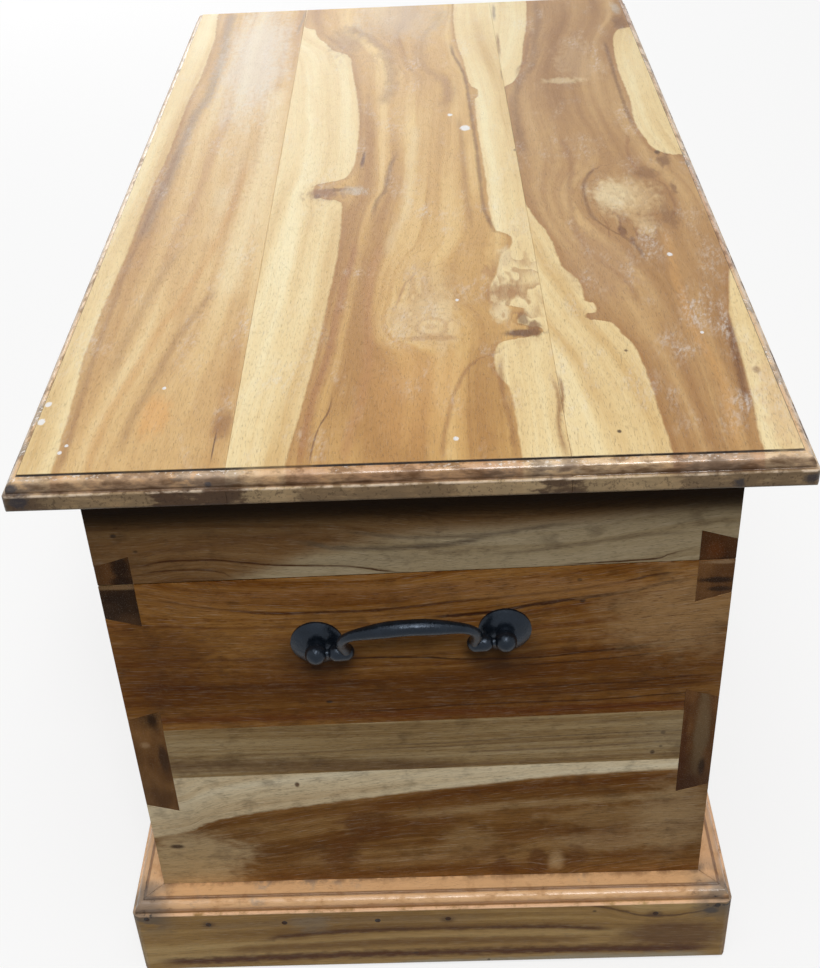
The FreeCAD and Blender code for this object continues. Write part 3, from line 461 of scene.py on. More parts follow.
def timber(name, board):
    paint = Paint(name)
    board = {**boardLook, **board}
    place = paint.place()
    along, across, deep = [place[letters[letter]] for letter in board["grain"]]
    level = board["level"]
    across = across - level
    deep = deep + board["seed"] * 97

    def mark(kind, height):
        length, thickness, depth, detail, rough = marks[kind]
        return paint.noise(along / length, height / thickness, deep / depth, detail, rough)

    def drawn(value, points):
        return paint.line(value, [(spot, height - level) for spot, height in points], board["span"])

    ragged = mark("ragged", across) - 0.5
    wander = mark("wander", across) - 0.5
    stray = ragged + wander

    # grain runs along the drawn lines and is pushed aside by the knots
    flow = across
    if board["flow"]:
        lines = [drawn(along, line) for line in board["flow"]]
        levels = [sum(height for spot, height in line) / len(line) - level for line in board["flow"]]
        flow = (across - lines[0]).least(0) + (across - lines[-1]).most(0) + levels[0]
        for index in range(len(lines) - 1):
            rise = levels[index + 1] - levels[index]
            flow = paint.use(band, flow, across, lines[index], lines[index + 1], rise)
    for a, c, longways, crossways, push in board["bulges"]:
        flow = paint.use(bulge, flow, along, across, a, c - level, longways, crossways, push)
    flow = flow + wander * board["wander"]

    growth = paint.noise(along / 600, flow / board["growth"], deep / 26, 3, 0.5)
    tint = mark("tint", flow + 238)    # moved on, so that it doesn't follow the growth
    thin, fibre = mark("thin", flow), mark("fibre", flow)
    pore, dapple = mark("pore", across), mark("dapple", across)

    def shades(value, colours):
        return paint.ramp(value, list(zip((0.34, 0.5, 0.66), colours)))

    colour = shades(growth * 0.6 + tint * 0.5 + thin * board["lines"] + dapple * 0.12 - 0.17, board["heart"])

    # sapwood lies beyond its own drawn lines, with a dark line inside it
    if board["sapwood"]:
        sapwood = rim = 0
        for side, edge in board["sapwood"]:
            line = drawn(along + ragged * 6, edge) + ragged * 2.5
            sapwood = paint.use(past, across, line, side, board["soft"]).most(sapwood)
            rim = paint.use(past, across, line + side * -4, side, 3).most(rim)
        colour = paint.mix(colour, teak["edge"], rim * dapple * board["edge"])
        pale = shades(growth * 0.6 + tint * 0.4 + dapple * 0.12 + thin * 0.12 - 0.12, board["sap"])
        colour = paint.mix(colour, pale, sapwood)

    # drawn streaks: a line, half its width, its colour and strength
    bent = along + ragged * 8
    swayed = across + wander * 2
    patchy = thin + 0.5
    for points, half, shade, strength in board["streaks"]:
        start, stop = points[0][0], points[-1][0]
        mask = paint.use(streakMask, along, swayed, drawn(bent, points), start, stop, half, ragged * 0.8)
        colour = paint.mix(colour, shade, mask * patchy * strength)

    # spots: middle, reach along and across, colour, strength and how ragged
    for a, c, longways, crossways, shade, strength, rough in board["spots"]:
        mask = paint.use(oval, along, across, a, c - level, longways, crossways, stray * rough, 1.2, 0.4)
        colour = paint.mix(colour, shade, mask * strength)

    # wavy growth lines round the knots: middle, reach, colour and strength
    if board["veins"]:
        figure = mark("figure", across) * 5.5
        wave = figure.calc("FRACT") ** 1.4 * figure.calc("FRACT").step(1.0, 0.85)
        for a, c, longways, crossways, shade, strength in board["veins"]:
            mask = paint.use(oval, along, across, a, c - level, longways, crossways, stray, 1.2, 0.3)
            colour = paint.mix(colour, shade, mask * wave * strength)

    # rings of a small knot
    for a, c, radius, shade, strength in board["rings"]:
        off = (((along - a) / 1.2) ** 2 + (across - c) ** 2) ** 0.5 + ragged * 2 + wander * 9
        rings = (off * 0.75).calc("SINE").step(-0.9, 1.2)
        colour = paint.mix(colour, shade, rings * off.step(radius, radius * 0.7) * strength)

    # darker end grain
    if board["ends"]:
        end = abs(along).step(board["ends"] - 0.6, board["ends"] - 0.2)
        speckle, cloud = mark("speckle", across), mark("cloud", across)
        dark, pale = board["endGrain"]
        raw = paint.mix(dark, pale, cloud.step(0.3, 0.7) * 0.8 + speckle * 0.4 - 0.1)
        breadth = place[letters[board["grain"][2]]]
        blur = cloud * 1.4 + speckle * 0.9 - 1.15
        for c, high, side, wide, shade, strength in board["endSpots"]:
            mask = paint.use(oval, across, breadth, c - level, side, high, wide, blur, 1.25, 0.35)
            raw = paint.mix(raw, shade, mask * strength)
        colour = paint.mix(colour, raw, end)

    # short dark dashes, then the fibres and pores
    if board["dashes"]:
        shade, strength = board["dashes"]
        dash = mark("dash", flow).step(0.55, 0.70)
        colour = paint.mix(colour, shade, dash * growth.step(0.62, 0.40) * strength)
    dark = fibre.step(0.50, 0.22) * board["crisp"] + pore.step(0.36, 0.24) * 0.28
    colour = paint.mix(colour, teak["pore"], dark)
    colour = paint.mix(colour, teak["shine"], fibre.step(0.54, 0.80) * board["crisp"] * 0.6)
    rough = teak["rough"] + fibre * 0.10 + dapple * 0.12 - 0.1
    height = fibre * 0.3 + pore.step(0.26, 0.4) * 0.6 + growth * 0.5
    return paint, colour, rough, height, place


# the lid: three lengthwise boards
lidLook = {"grain": "xyz", "span": (-495, 495), "growth": 19, "lines": 0.08}
darkStreak = tone(150, 102, 58)
greyStreak = tone(150, 128, 104)
umber = tone(112, 70, 38)
honey = tone(212, 160, 96)
cream = tone(238, 216, 170)
ash = tone(196, 184, 166)

lidBoards = {
    "lid_board_back": {
        "seed": 3.1, "wander": 6,
        "heart": (tone(160, 115, 66), tone(186, 143, 91), tone(212, 173, 118)),
        "flow": [
            [(-490, 139), (-300, 124), (-190, 103), (0, 97), (110, 102), (200, 115), (300, 137), (400, 160),
             (490, 168)],
            [(-490, 205), (-300, 175), (-150, 158), (0, 168), (100, 150), (200, 170), (300, 190), (490, 196)],
            [(-490, 262), (-350, 232), (-250, 220), (-100, 217), (0, 226), (100, 238), (200, 248),
             (300, 238), (400, 230), (490, 222)],
        ],
        "bulges": [(92, 184, 40, 30, 0.9)],
        "veins": [(128, 186, 66, 40, tone(158, 112, 68), 0.4), (50, 216, 80, 22, tone(154, 108, 64), 0.45)],
        "sapwood": [
            (-1, [(-490, 139), (-421, 135.6), (-387, 133), (-318, 125), (-249, 118), (-204, 108),
                  (-185, 96), (-150, 88), (-60, 88), (60, 94), (117, 103), (174, 116), (219, 120),
                  (232, 127), (254, 131.5), (274, 132), (284, 139), (293, 139), (299, 130), (309, 146),
                  (326, 153), (361, 161.5), (436, 165), (490, 166)]),
            (1, [(-490, 268), (-374, 264), (-364, 240), (-352, 231), (-328, 225), (-300, 222), (-214, 218),
                 (-142, 219), (-83, 216), (-35, 220), (-14, 223.5), (-2, 230), (5, 241), (14, 262),
                 (200, 262), (233, 248), (278, 239), (319, 233), (381, 230), (416, 228), (490, 223)]),
        ],
        "streaks": [
            ([(-330, 214), (-250, 213), (-180, 212), (-120, 212), (-60, 213)], 3.5, umber, 0.6),
            ([(300, 231), (345, 229), (380, 227), (440, 224)], 5, umber, 0.75),
            ([(-380, 137), (-340, 132), (-300, 128), (-260, 123), (-214, 113)], 4, darkStreak, 0.6),
            ([(-490, 150), (-420, 148), (-340, 140), (-260, 131), (-190, 112), (-100, 104), (0, 106)], 8,
             umber, 0.4),
            ([(-480, 99), (-400, 98)], 3.5, greyStreak, 0.7),
            ([(-370, 99), (-275, 98)], 3, darkStreak, 0.7),
            ([(370, 101), (400, 104), (440, 101), (490, 103)], 2.5, darkStreak, 0.8),
            ([(10, 192), (21, 179), (46, 158), (96, 151), (153, 163), (224, 186)], 3.2, umber, 0.6),
            ([(118, 206), (140, 200), (158, 202), (176, 197)], 3.4, tone(150, 104, 62), 0.7),
            ([(120, 192), (146, 191), (162, 186), (182, 186)], 2.0, tone(146, 98, 56), 0.9),
            ([(112, 172), (140, 175), (158, 172), (176, 177)], 2.2, tone(140, 92, 52), 0.9),
            ([(126, 160), (150, 164), (176, 163)], 1.6, tone(150, 104, 60), 0.8),
            ([(40, 212), (70, 222), (110, 224), (150, 214)], 2.4, tone(150, 104, 62), 0.7),
            ([(-60, 206), (0, 200), (60, 206)], 3, tone(160, 112, 68), 0.6),
            ([(-60, 143), (10, 146), (60, 141), (130, 137), (210, 150), (300, 172)], 5, darkStreak, 0.45),
            ([(150, 208), (230, 205), (300, 204), (400, 212), (490, 208)], 7, honey, 0.5),
            ([(170, 172), (240, 183), (330, 190), (420, 192), (490, 190)], 8, darkStreak, 0.35),
        ],
        "spots": [
            (215, 152, 66, 30, tone(178, 136, 94), 0.6, 0.9), (-262, 176, 80, 22, tone(216, 184, 142), 0.3,
                                                               1.8),
            (96, 186, 50, 30, tone(222, 190, 140), 0.85, 0.9),
            (90, 176, 34, 20, tone(240, 218, 172), 0.75, 0.8),
            (140, 190, 30, 10, tone(214, 178, 126), 0.7, 1.4),
            (150, 196, 20, 12, tone(226, 196, 148), 0.6, 1.2),
            (-382, 238, 30, 9, umber, 0.55, 0.8),
            (-436, 240, 26, 6, ash, 0.6, 0.7),
            (17, 228, 18, 7, umber, 0.65, 1.6),
            (43, 208, 14, 12, umber, 0.45, 1.8),
            (78, 229, 16, 4, umber, 0.6, 1.6),
            (136, 216, 22, 7, umber, 0.45, 1.8),
            (160, 175, 11, 4, umber, 0.8, 1.0),
            (176, 181, 10, 3, umber, 0.7, 1.0),
            (-2, 226, 5, 3, tone(60, 36, 20), 0.8, 0.5),
            (-200, 158, 10, 22, cream, 0.5, 1.0),
            (454, 136, 2.2, 1.7, tone(60, 40, 26), 0.9, 0.3),
            (352, 153, 2, 1.6, tone(90, 60, 36), 0.8, 0.3),
            (384, 238, 6, 3, umber, 0.7, 0.8), (430, 244, 80, 16, tone(222, 184, 138), 0.5, 1.2),
        ],
    },
    "lid_board_middle": {
        "seed": 8.7, "wander": 6,
        "heart": (tone(180, 132, 72), tone(212, 168, 102), tone(238, 204, 140)),
        "flow": [
            [(-490, -119), (-400, -108), (-300, -68), (-200, -57), (0, -50), (100, -56), (300, -64),
             (490, -77)],
            [(-490, -62), (-400, -56), (-345, -38), (-290, -23), (-214, -18), (-142, -24), (0, -18),
             (113, -30), (200, -38), (320, -44), (490, -56)],
            [(-490, 40), (-404, 28), (-352, 13), (-283, 10), (-249, 20), (-221, 33), (-142, 32), (0, 24),
             (150, 18), (260, -8), (320, 2), (360, 24), (490, 22)],
            [(-490, 52), (-400, 50), (-311, 55), (-200, 63), (-76, 66), (100, 69), (240, 66), (320, 70),
             (490, 72)],
        ],
        "bulges": [(307, 17, 24, 22, 1.1), (62, -73, 18, 14, 0.9)],
        "sapwood": [
            (1, [(-490, 53), (-421, 51), (-352, 52), (-266, 58.7), (-214, 61.4), (-193, 65), (-180, 70),
                 (-166, 70), (-155, 65.6), (-76, 66), (27, 68), (123, 69), (151, 72.5), (166, 84),
                 (192, 75), (230, 68), (269, 62), (288, 86), (305, 80), (319, 98), (331, 69), (361, 61),
                 (402, 70), (490, 72)]),
            (-1, [(-420, -122), (-400, -108), (-376, -104), (-352, -94), (-324, -83), (-297, -64),
                  (-266, -61), (-214, -56.5), (-145, -50.6), (-94, -48), (-14, -49), (13, -52), (30, -57.5),
                  (38, -72), (48, -84), (62, -83), (75, -70), (85, -57.5), (140, -56.5), (261, -61),
                  (347, -66), (433, -73), (490, -77)]),
        ],
        "streaks": [
            ([(-340, 46), (-266, 53), (-200, 59), (-100, 61), (0, 63), (100, 64), (160, 70)], 3, umber, 0.6),
            ([(-420, -66), (-376, -49), (-345, -38), (-311, -25), (-266, -20), (-214, -18), (-142, -26)],
             12, darkStreak, 0.6),
            ([(-470, 36), (-404, 30), (-352, 15), (-283, 12), (-249, 20), (-221, 33), (-180, 40),
              (-130, 34)], 13, darkStreak, 0.42),
            ([(-30, -12), (0, -16), (60, -21), (120, -30)], 4, umber, 0.6),
            ([(-36, -41), (-7, -42), (12, -43)], 2.6, umber, 0.9),
            ([(333, 68), (354, 51), (381, 37), (430, 27), (490, 22)], 3.2, darkStreak, 0.6),
            ([(345, 66), (378, 64), (420, 66), (490, 68)], 3.5, darkStreak, 0.6),
            ([(390, -51), (430, -56), (490, -62)], 1.2, umber, 0.8),
            ([(150, -44), (240, -50), (340, -56), (490, -68)], 6, tone(172, 118, 72), 0.6),
            ([(160, -22), (250, -30), (340, -28), (490, -40)], 7, tone(186, 132, 82), 0.5),
            ([(-120, 48), (-40, 50), (60, 50), (150, 52)], 5, darkStreak, 0.35),
            ([(-100, 6), (0, 2), (100, -2), (200, -16)], 8, cream, 0.35),
            ([(200, 6), (236, -2), (270, -8), (300, -12)], 2, tone(176, 128, 82), 0.7),
            ([(196, 30), (214, 12), (236, 2), (262, 2)], 1.6, tone(170, 120, 76), 0.7),
            ([(-250, 98), (-205, 97)], 3, darkStreak, 0.7),
            ([(376, 98), (410, 101), (450, 98), (490, 100)], 3, darkStreak, 0.7),
        ],
        "spots": [
            (-360, -70, 60, 20, tone(164, 128, 92), 0.5, 0.9), (-430, -10, 90, 60, tone(214, 194, 166),
                                                                0.45, 0.9),
            (400, 5, 90, 36, tone(214, 160, 96), 0.4, 0.8),
            (292, 14, 50, 30, tone(236, 208, 158), 0.8, 1.0),
            (310, 17, 20, 19, tone(232, 200, 146), 0.7, 0.6),
            (324, 14, 5, 22, tone(180, 134, 84), 0.6, 1.0),
            (240, 18, 40, 20, tone(222, 190, 138), 0.5, 1.0),
            (322, 84, 6, 17, tone(92, 54, 28), 0.9, 0.9),
            (314, 93, 10, 6, tone(120, 76, 42), 0.8, 1.3),
            (257, 74, 17, 15, tone(166, 118, 70), 0.75, 1.1),
            (300, 84, 12, 4, umber, 0.7, 1.0),
            (196, 78, 20, 7, cream, 0.8, 1.2),
            (222, 62, 12, 7, tone(176, 128, 80), 0.6, 1.3),
            (290, 68, 18, 8, cream, 0.8, 1.1),
            (62, -74, 12, 15, tone(150, 104, 66), 0.85, 0.9),
            (58, -50, 11, 12, ash, 0.5, 1.1),
            (55, -64, 5, 16, umber, 0.6, 1.0),
            (68, -80, 6, 3, tone(92, 58, 34), 0.8, 0.6),
            (-7, -42, 14, 2.4, tone(110, 68, 38), 0.7, 0.5),
            (-20, 98, 3, 2, umber, 0.6, 0.4),
        ],
        "rings": [(308, 17, 20, tone(196, 154, 104), 0.5)],
        "veins": [(250, 82, 92, 26, tone(170, 120, 70), 0.8), (276, 14, 76, 38, tone(192, 148, 96), 0.65),
                  (62, -72, 26, 24, tone(150, 104, 64), 0.7), (-330, -50, 90, 40, tone(170, 126, 84), 0.4)],
    },
    "lid_board_front": {
        "seed": 14.3, "wander": 5,
        "heart": (tone(196, 150, 92), tone(224, 186, 126), tone(242, 216, 162)),
        "flow": [
            [(-490, -228), (0, -228), (200, -231), (490, -226)],
            [(-490, -170), (-200, -168), (100, -158), (257, -160), (381, -180), (490, -190)],
            [(-490, -124), (0, -119), (490, -115)],
        ],
        "sapwood": [
            (-1, [(-490, -229), (-421, -225), (-352, -222), (-283, -222), (-214, -225), (-142, -226.5),
                  (-59, -226.5), (61, -230), (140, -230), (226, -231.7), (312, -233.4), (364, -231),
                  (433, -227.5), (490, -226)]),
        ],
        "streaks": [
            ([(-490, -212), (-400, -210), (-300, -206), (-220, -206), (-140, -214), (0, -218), (150, -222)],
             10, tone(158, 132, 108), 0.65),
            ([(-60, -219), (100, -223), (300, -226), (490, -221)], 4.5, darkStreak, 0.5),
            ([(225, -150), (257, -156), (319, -170), (381, -178), (470, -186)], 6, darkStreak, 0.42),
            ([(150, -186), (175, -190), (230, -198), (278, -203), (380, -208)], 8, darkStreak, 0.32),
            ([(-20, -150), (120, -156), (240, -172), (340, -190), (490, -204)], 6, honey, 0.5),
            ([(-220, -136), (-60, -134), (80, -136), (260, -140)], 16, tone(244, 220, 170), 0.7),
            ([(-180, -160), (0, -158), (160, -166)], 10, tone(238, 208, 156), 0.5),
            ([(430, -125), (445, -125), (478, -125)], 0.9, tone(80, 48, 26), 0.9),
            ([(-490, -124), (-430, -126), (-380, -128)], 3, greyStreak, 0.6),
            ([(-160, -180), (-40, -184), (90, -188), (200, -196)], 7, tone(190, 140, 92), 0.4),
        ],
        "spots": [
            (430, -123, 20, 8, tone(150, 104, 62), 0.7, 0.9),
            (416, -170, 30, 12, tone(230, 164, 88), 0.45, 0.7),
            (-300, -168, 200, 40, tone(234, 224, 210), 0.6, 0.8),
            (60, -166, 40, 8, cream, 0.4, 1.0),
        ],
    },
}
specks = [    # spilt white paint on the lid: x, y, size
    (456, 31, 2.2), (419, -245, 3.2), (397, -245, 2.6), (449, -222, 1.6), (457, -225, 1.8), (381, -168, 1.6),
    (268, 37, 1.8), (-80, 54, 6), (-116, 40, 3), (330, 210, 1.6), (205, 206, 2.6),
]
scuffs = [    # pale rubbed places on the lid: x, y, reach along, reach across, strength
    (290, 218, 46, 20, 0.9), (350, 190, 26, 22, 0.6), (425, 222, 20, 14, 0.9), (216, -37, 12, 20, 0.8),
    (180, -130, 42, 10, 0.9), (300, -122, 34, 9, 0.9), (104, 20, 26, 16, 0.8), (90, 4, 34, 12, 0.6),
    (375, -90, 40, 22, 0.6), (-10, 150, 16, 22, 0.8), (60, -45, 12, 20, 0.9), (-270, 200, 70, 16, 0.7),
    (110, 60, 18, 28, 0.6), (-100, -12, 50, 14, 0.5), (180, 196, 40, 20, 0.6), (-260, -150, 90, 14, 0.7),
    (-300, -80, 80, 18, 0.4), (250, 50, 30, 20, 0.5), (160, -148, 30, 10, 0.6), (330, 226, 50, 10, 0.7),
    (420, 242, 60, 16, 0.5), (-160, -176, 90, 14, 0.5), (-20, 96, 60, 8, 0.4), (20, -80, 50, 20, 0.35),
    (400, 160, 30, 24, 0.4),
]


lidEdge = {    # the worn moulding round the lid, with places in millimetres
    "start": (480.2, 248.2),    # its inner line along and across, from the middle of the lid
    "near": (479, 480.5),       # the near edge has patches of its own, drawn across it
    "patchSpan": (-262, 262),
    "out": {    # where each zone begins and is full, outwards from the inner line
        "edge": (-0.6, 0.6), "lip": (1, 3), "crown": (4.6, 3.0), "under": (4.0, 6.2), "rim": (7.4, 8.6),
        "quirk": ((-0.7, -0.2), (0.9, 0.3)), "cove": ((6.0, 6.8), (8.0, 7.2)), "arris": (7.9, 8.6),
    },
    "up": {"face": (514, 518), "top": (519.8, 518.9), "cove": (512, 510.6), "arris": (508.0, 509.0)},
    "worn": tone(222, 168, 122), "grime": tone(104, 68, 38), "grey": tone(156, 144, 128),
    "glint": tone(246, 238, 228), "under": tone(74, 46, 24), "pale": tone(220, 192, 148),
    "stain": tone(62, 33, 14), "pit": tone(50, 31, 19), "quirk": tone(26, 13, 5), "cove": tone(66, 44, 28),
    "arris": tone(226, 206, 182), "dot": tone(46, 46, 56), "paint": (0.9, 0.9, 0.9, 1),
    "gloss": 0.2, "coatRough": 0.14, "bump": 0.00026,
    # dark dots on the near edge: place across, height and size
    "dots": [(208, 502, 4), (253, 504, 4.5), (-126, 512, 2.5), (-247, 505, 6), (-252, 513, 4)],
    # how grey the roll and how dark the band below it is, by place across the near edge
    "roll": [(-258, 0.9), (-232, 0.6), (-226, 0.35), (-150, 0.4), (-144, 0.1), (-140, 0.8), (-108, 0.8),
             (-103, 0.15), (50, 0.1), (56, 0.6), (66, 0.6), (71, 0.1), (86, 0.7), (107, 0.7), (112, 0.15),
             (172, 0.2), (178, 0.7), (212, 0.7), (218, 0.2), (258, 0.5)],
    "band": [(-258, 0.9), (-232, 0.8), (-226, 0.5), (-166, 0.45), (-160, 0.95), (-102, 0.95), (-97, 0.1),
             (-72, 0.1), (-67, 0.55), (28, 0.55), (35, 0.08), (79, 0.08), (84, 0.9), (111, 0.9), (116, 0.12),
             (168, 0.12), (175, 0.55), (258, 0.6)],
}


def rubLid(paint, colour, rough, fuzz, place):
    # rubbed, dusty places and drops of paint, on the flat top alone
    x, y, z = place
    smear = paint.noise(x / 24, y / 8 + x / 40, z / 9, 3, 0.6)
    face = z.step(*lidEdge["up"]["face"])
    rubbed = sum(paint.use(oval, x, y, a, c, longways, crossways, 0.0, 1.2, 0.2) * strength
                 for a, c, longways, crossways, strength in scuffs)
    rubbed = rubbed * fuzz.step(0.38, 0.72) * smear.step(0.40, 0.62) * face * 0.62
    colour = paint.mix(colour, teak["scuff"], rubbed)
    haze = paint.noise(x / 60, y / 22, z / 30, 3, 0.6).step(0.52, 0.72) * fuzz.step(0.4, 0.7) * face
    colour = paint.mix(colour, teak["scuff"], haze * 0.30)
    drops = 0
    for a, c, size in specks:
        drops = paint.use(oval, x, y, a, c, size * 1.4, size, fuzz - 0.5, 1.0, 0.6).most(drops)
    return paint.mix(colour, lidEdge["paint"], drops * face * 0.9), rough + rubbed * 0.25


def lidPaint(name, board):
    look, zone, level = lidEdge, lidEdge["out"], lidEdge["up"]
    paint, colour, rough, height, (x, y, z) = timber(name, {**lidLook, **board})
    fuzz = paint.noise(x / 6, y / 2.6 + x / 14, z / 3, 4, 0.7)
    colour, rough = rubLid(paint, colour, rough, fuzz, (x, y, z))
    # the moulded edge: out is how far beyond its inner line
    out = (abs(x) - look["start"][0]).most(abs(y) - look["start"][1])
    edge = out.step(*zone["edge"]) * z.step(*level["top"]).most(out.step(*zone["lip"]))
    grime = paint.noise(x / 16, y / 16, z / 5, 4, 0.65)
    patch = paint.noise(x / 40, y / 46, z / 22, 3, 0.6)
    nearEnd = x.step(*look["near"])
    jitter = y + (grime - 0.5) * 34 + (patch - 0.5) * 24
    upper, lower = [paint.line(jitter, look[part], look["patchSpan"]) * nearEnd + elsewhere * (1 - nearEnd)
                    for part,
                    elsewhere in (("roll", patch.step(0.54, 0.66)), ("band", patch.step(0.48, 0.6)))]
    # the roll
    worn = paint.mix(colour, look["worn"], 0.5)
    worn = paint.mix(worn, look["grime"], grime.step(0.48, 0.62) * 0.62)
    worn = paint.mix(worn, look["grey"], upper * grime.step(0.36, 0.5) * 0.7)
    # painted highlight: pale glints on the crown of the roll
    glint = paint.noise(x / 2.2, y / 3.4, z / 2.2, 2, 0.7).step(0.55, 0.63) * out.step(*zone["crown"])
    worn = paint.mix(worn, look["glint"], glint * (upper * 0.55 + patch.step(0.46, 0.6) * 0.5))
    colour = paint.mix(colour, worn, edge)
    # painted shade on the lower half of the roll, deeper where grime lies
    under = out.step(*zone["under"])
    colour = paint.mix(colour, look["under"], under * (grime.step(0.25, 0.55) * 0.45 + 0.22))
    # the upright band below it
    rim = out.step(*zone["rim"])
    stained = lower * (grime.step(0.36, 0.5) * 0.3 + 0.66)
    fillet = paint.mix(paint.mix(colour, look["pale"], 0.7), look["stain"], stained)
    fillet = paint.mix(fillet, look["pit"], fuzz.step(0.54, 0.62) * 0.5)
    colour = paint.mix(colour, fillet, rim * 0.9)
    for across, up, size in look["dots"]:
        stray = (grime - 0.5) * 2 + fuzz - 0.5
        dot = paint.use(oval, y, z, across, up, size * 1.3, size, stray, 1.1, 0.5) * nearEnd
        colour = paint.mix(colour, look["dot"], dot * 0.8)
    # painted shade in the quirk and the cove, and a pale arris: worn, with a painted highlight
    quirk = out.between(*zone["quirk"])
    colour = paint.mix(colour, look["quirk"], quirk * (patch.step(0.35, 0.5) * 0.3 + 0.68))
    cove = out.between(*zone["cove"]) * z.step(*level["cove"])
    colour = paint.mix(colour, look["cove"], cove * 0.5)
    # the arris: pale with wear, and with a painted highlight along its top
    arris = out.step(*zone["arris"]) * z.step(*level["arris"])
    colour = paint.mix(colour, look["arris"], arris * grime.step(0.58, 0.40) * 0.7)
    height = height + edge * grime * 1.2
    coat = edge * grime.step(0.65, 0.4) * (1 - rim * 0.96) * 0.8
    return paint.finish(colour, rough, height, look["bump"], Specular_IOR_Level=look["gloss"],
                        Coat_Weight=coat, Coat_Roughness=look["coatRough"])


def give(name, material):
    for piece in (frame["nodes"][name], wornPieces.get(name, frame["nodes"][name])):
        for slot in piece.material_slots:
            slot.material = material


for name, board in lidBoards.items():
    give(name, lidPaint(name.replace("lid_board", "teak_lid"), board))
print("lid painted")


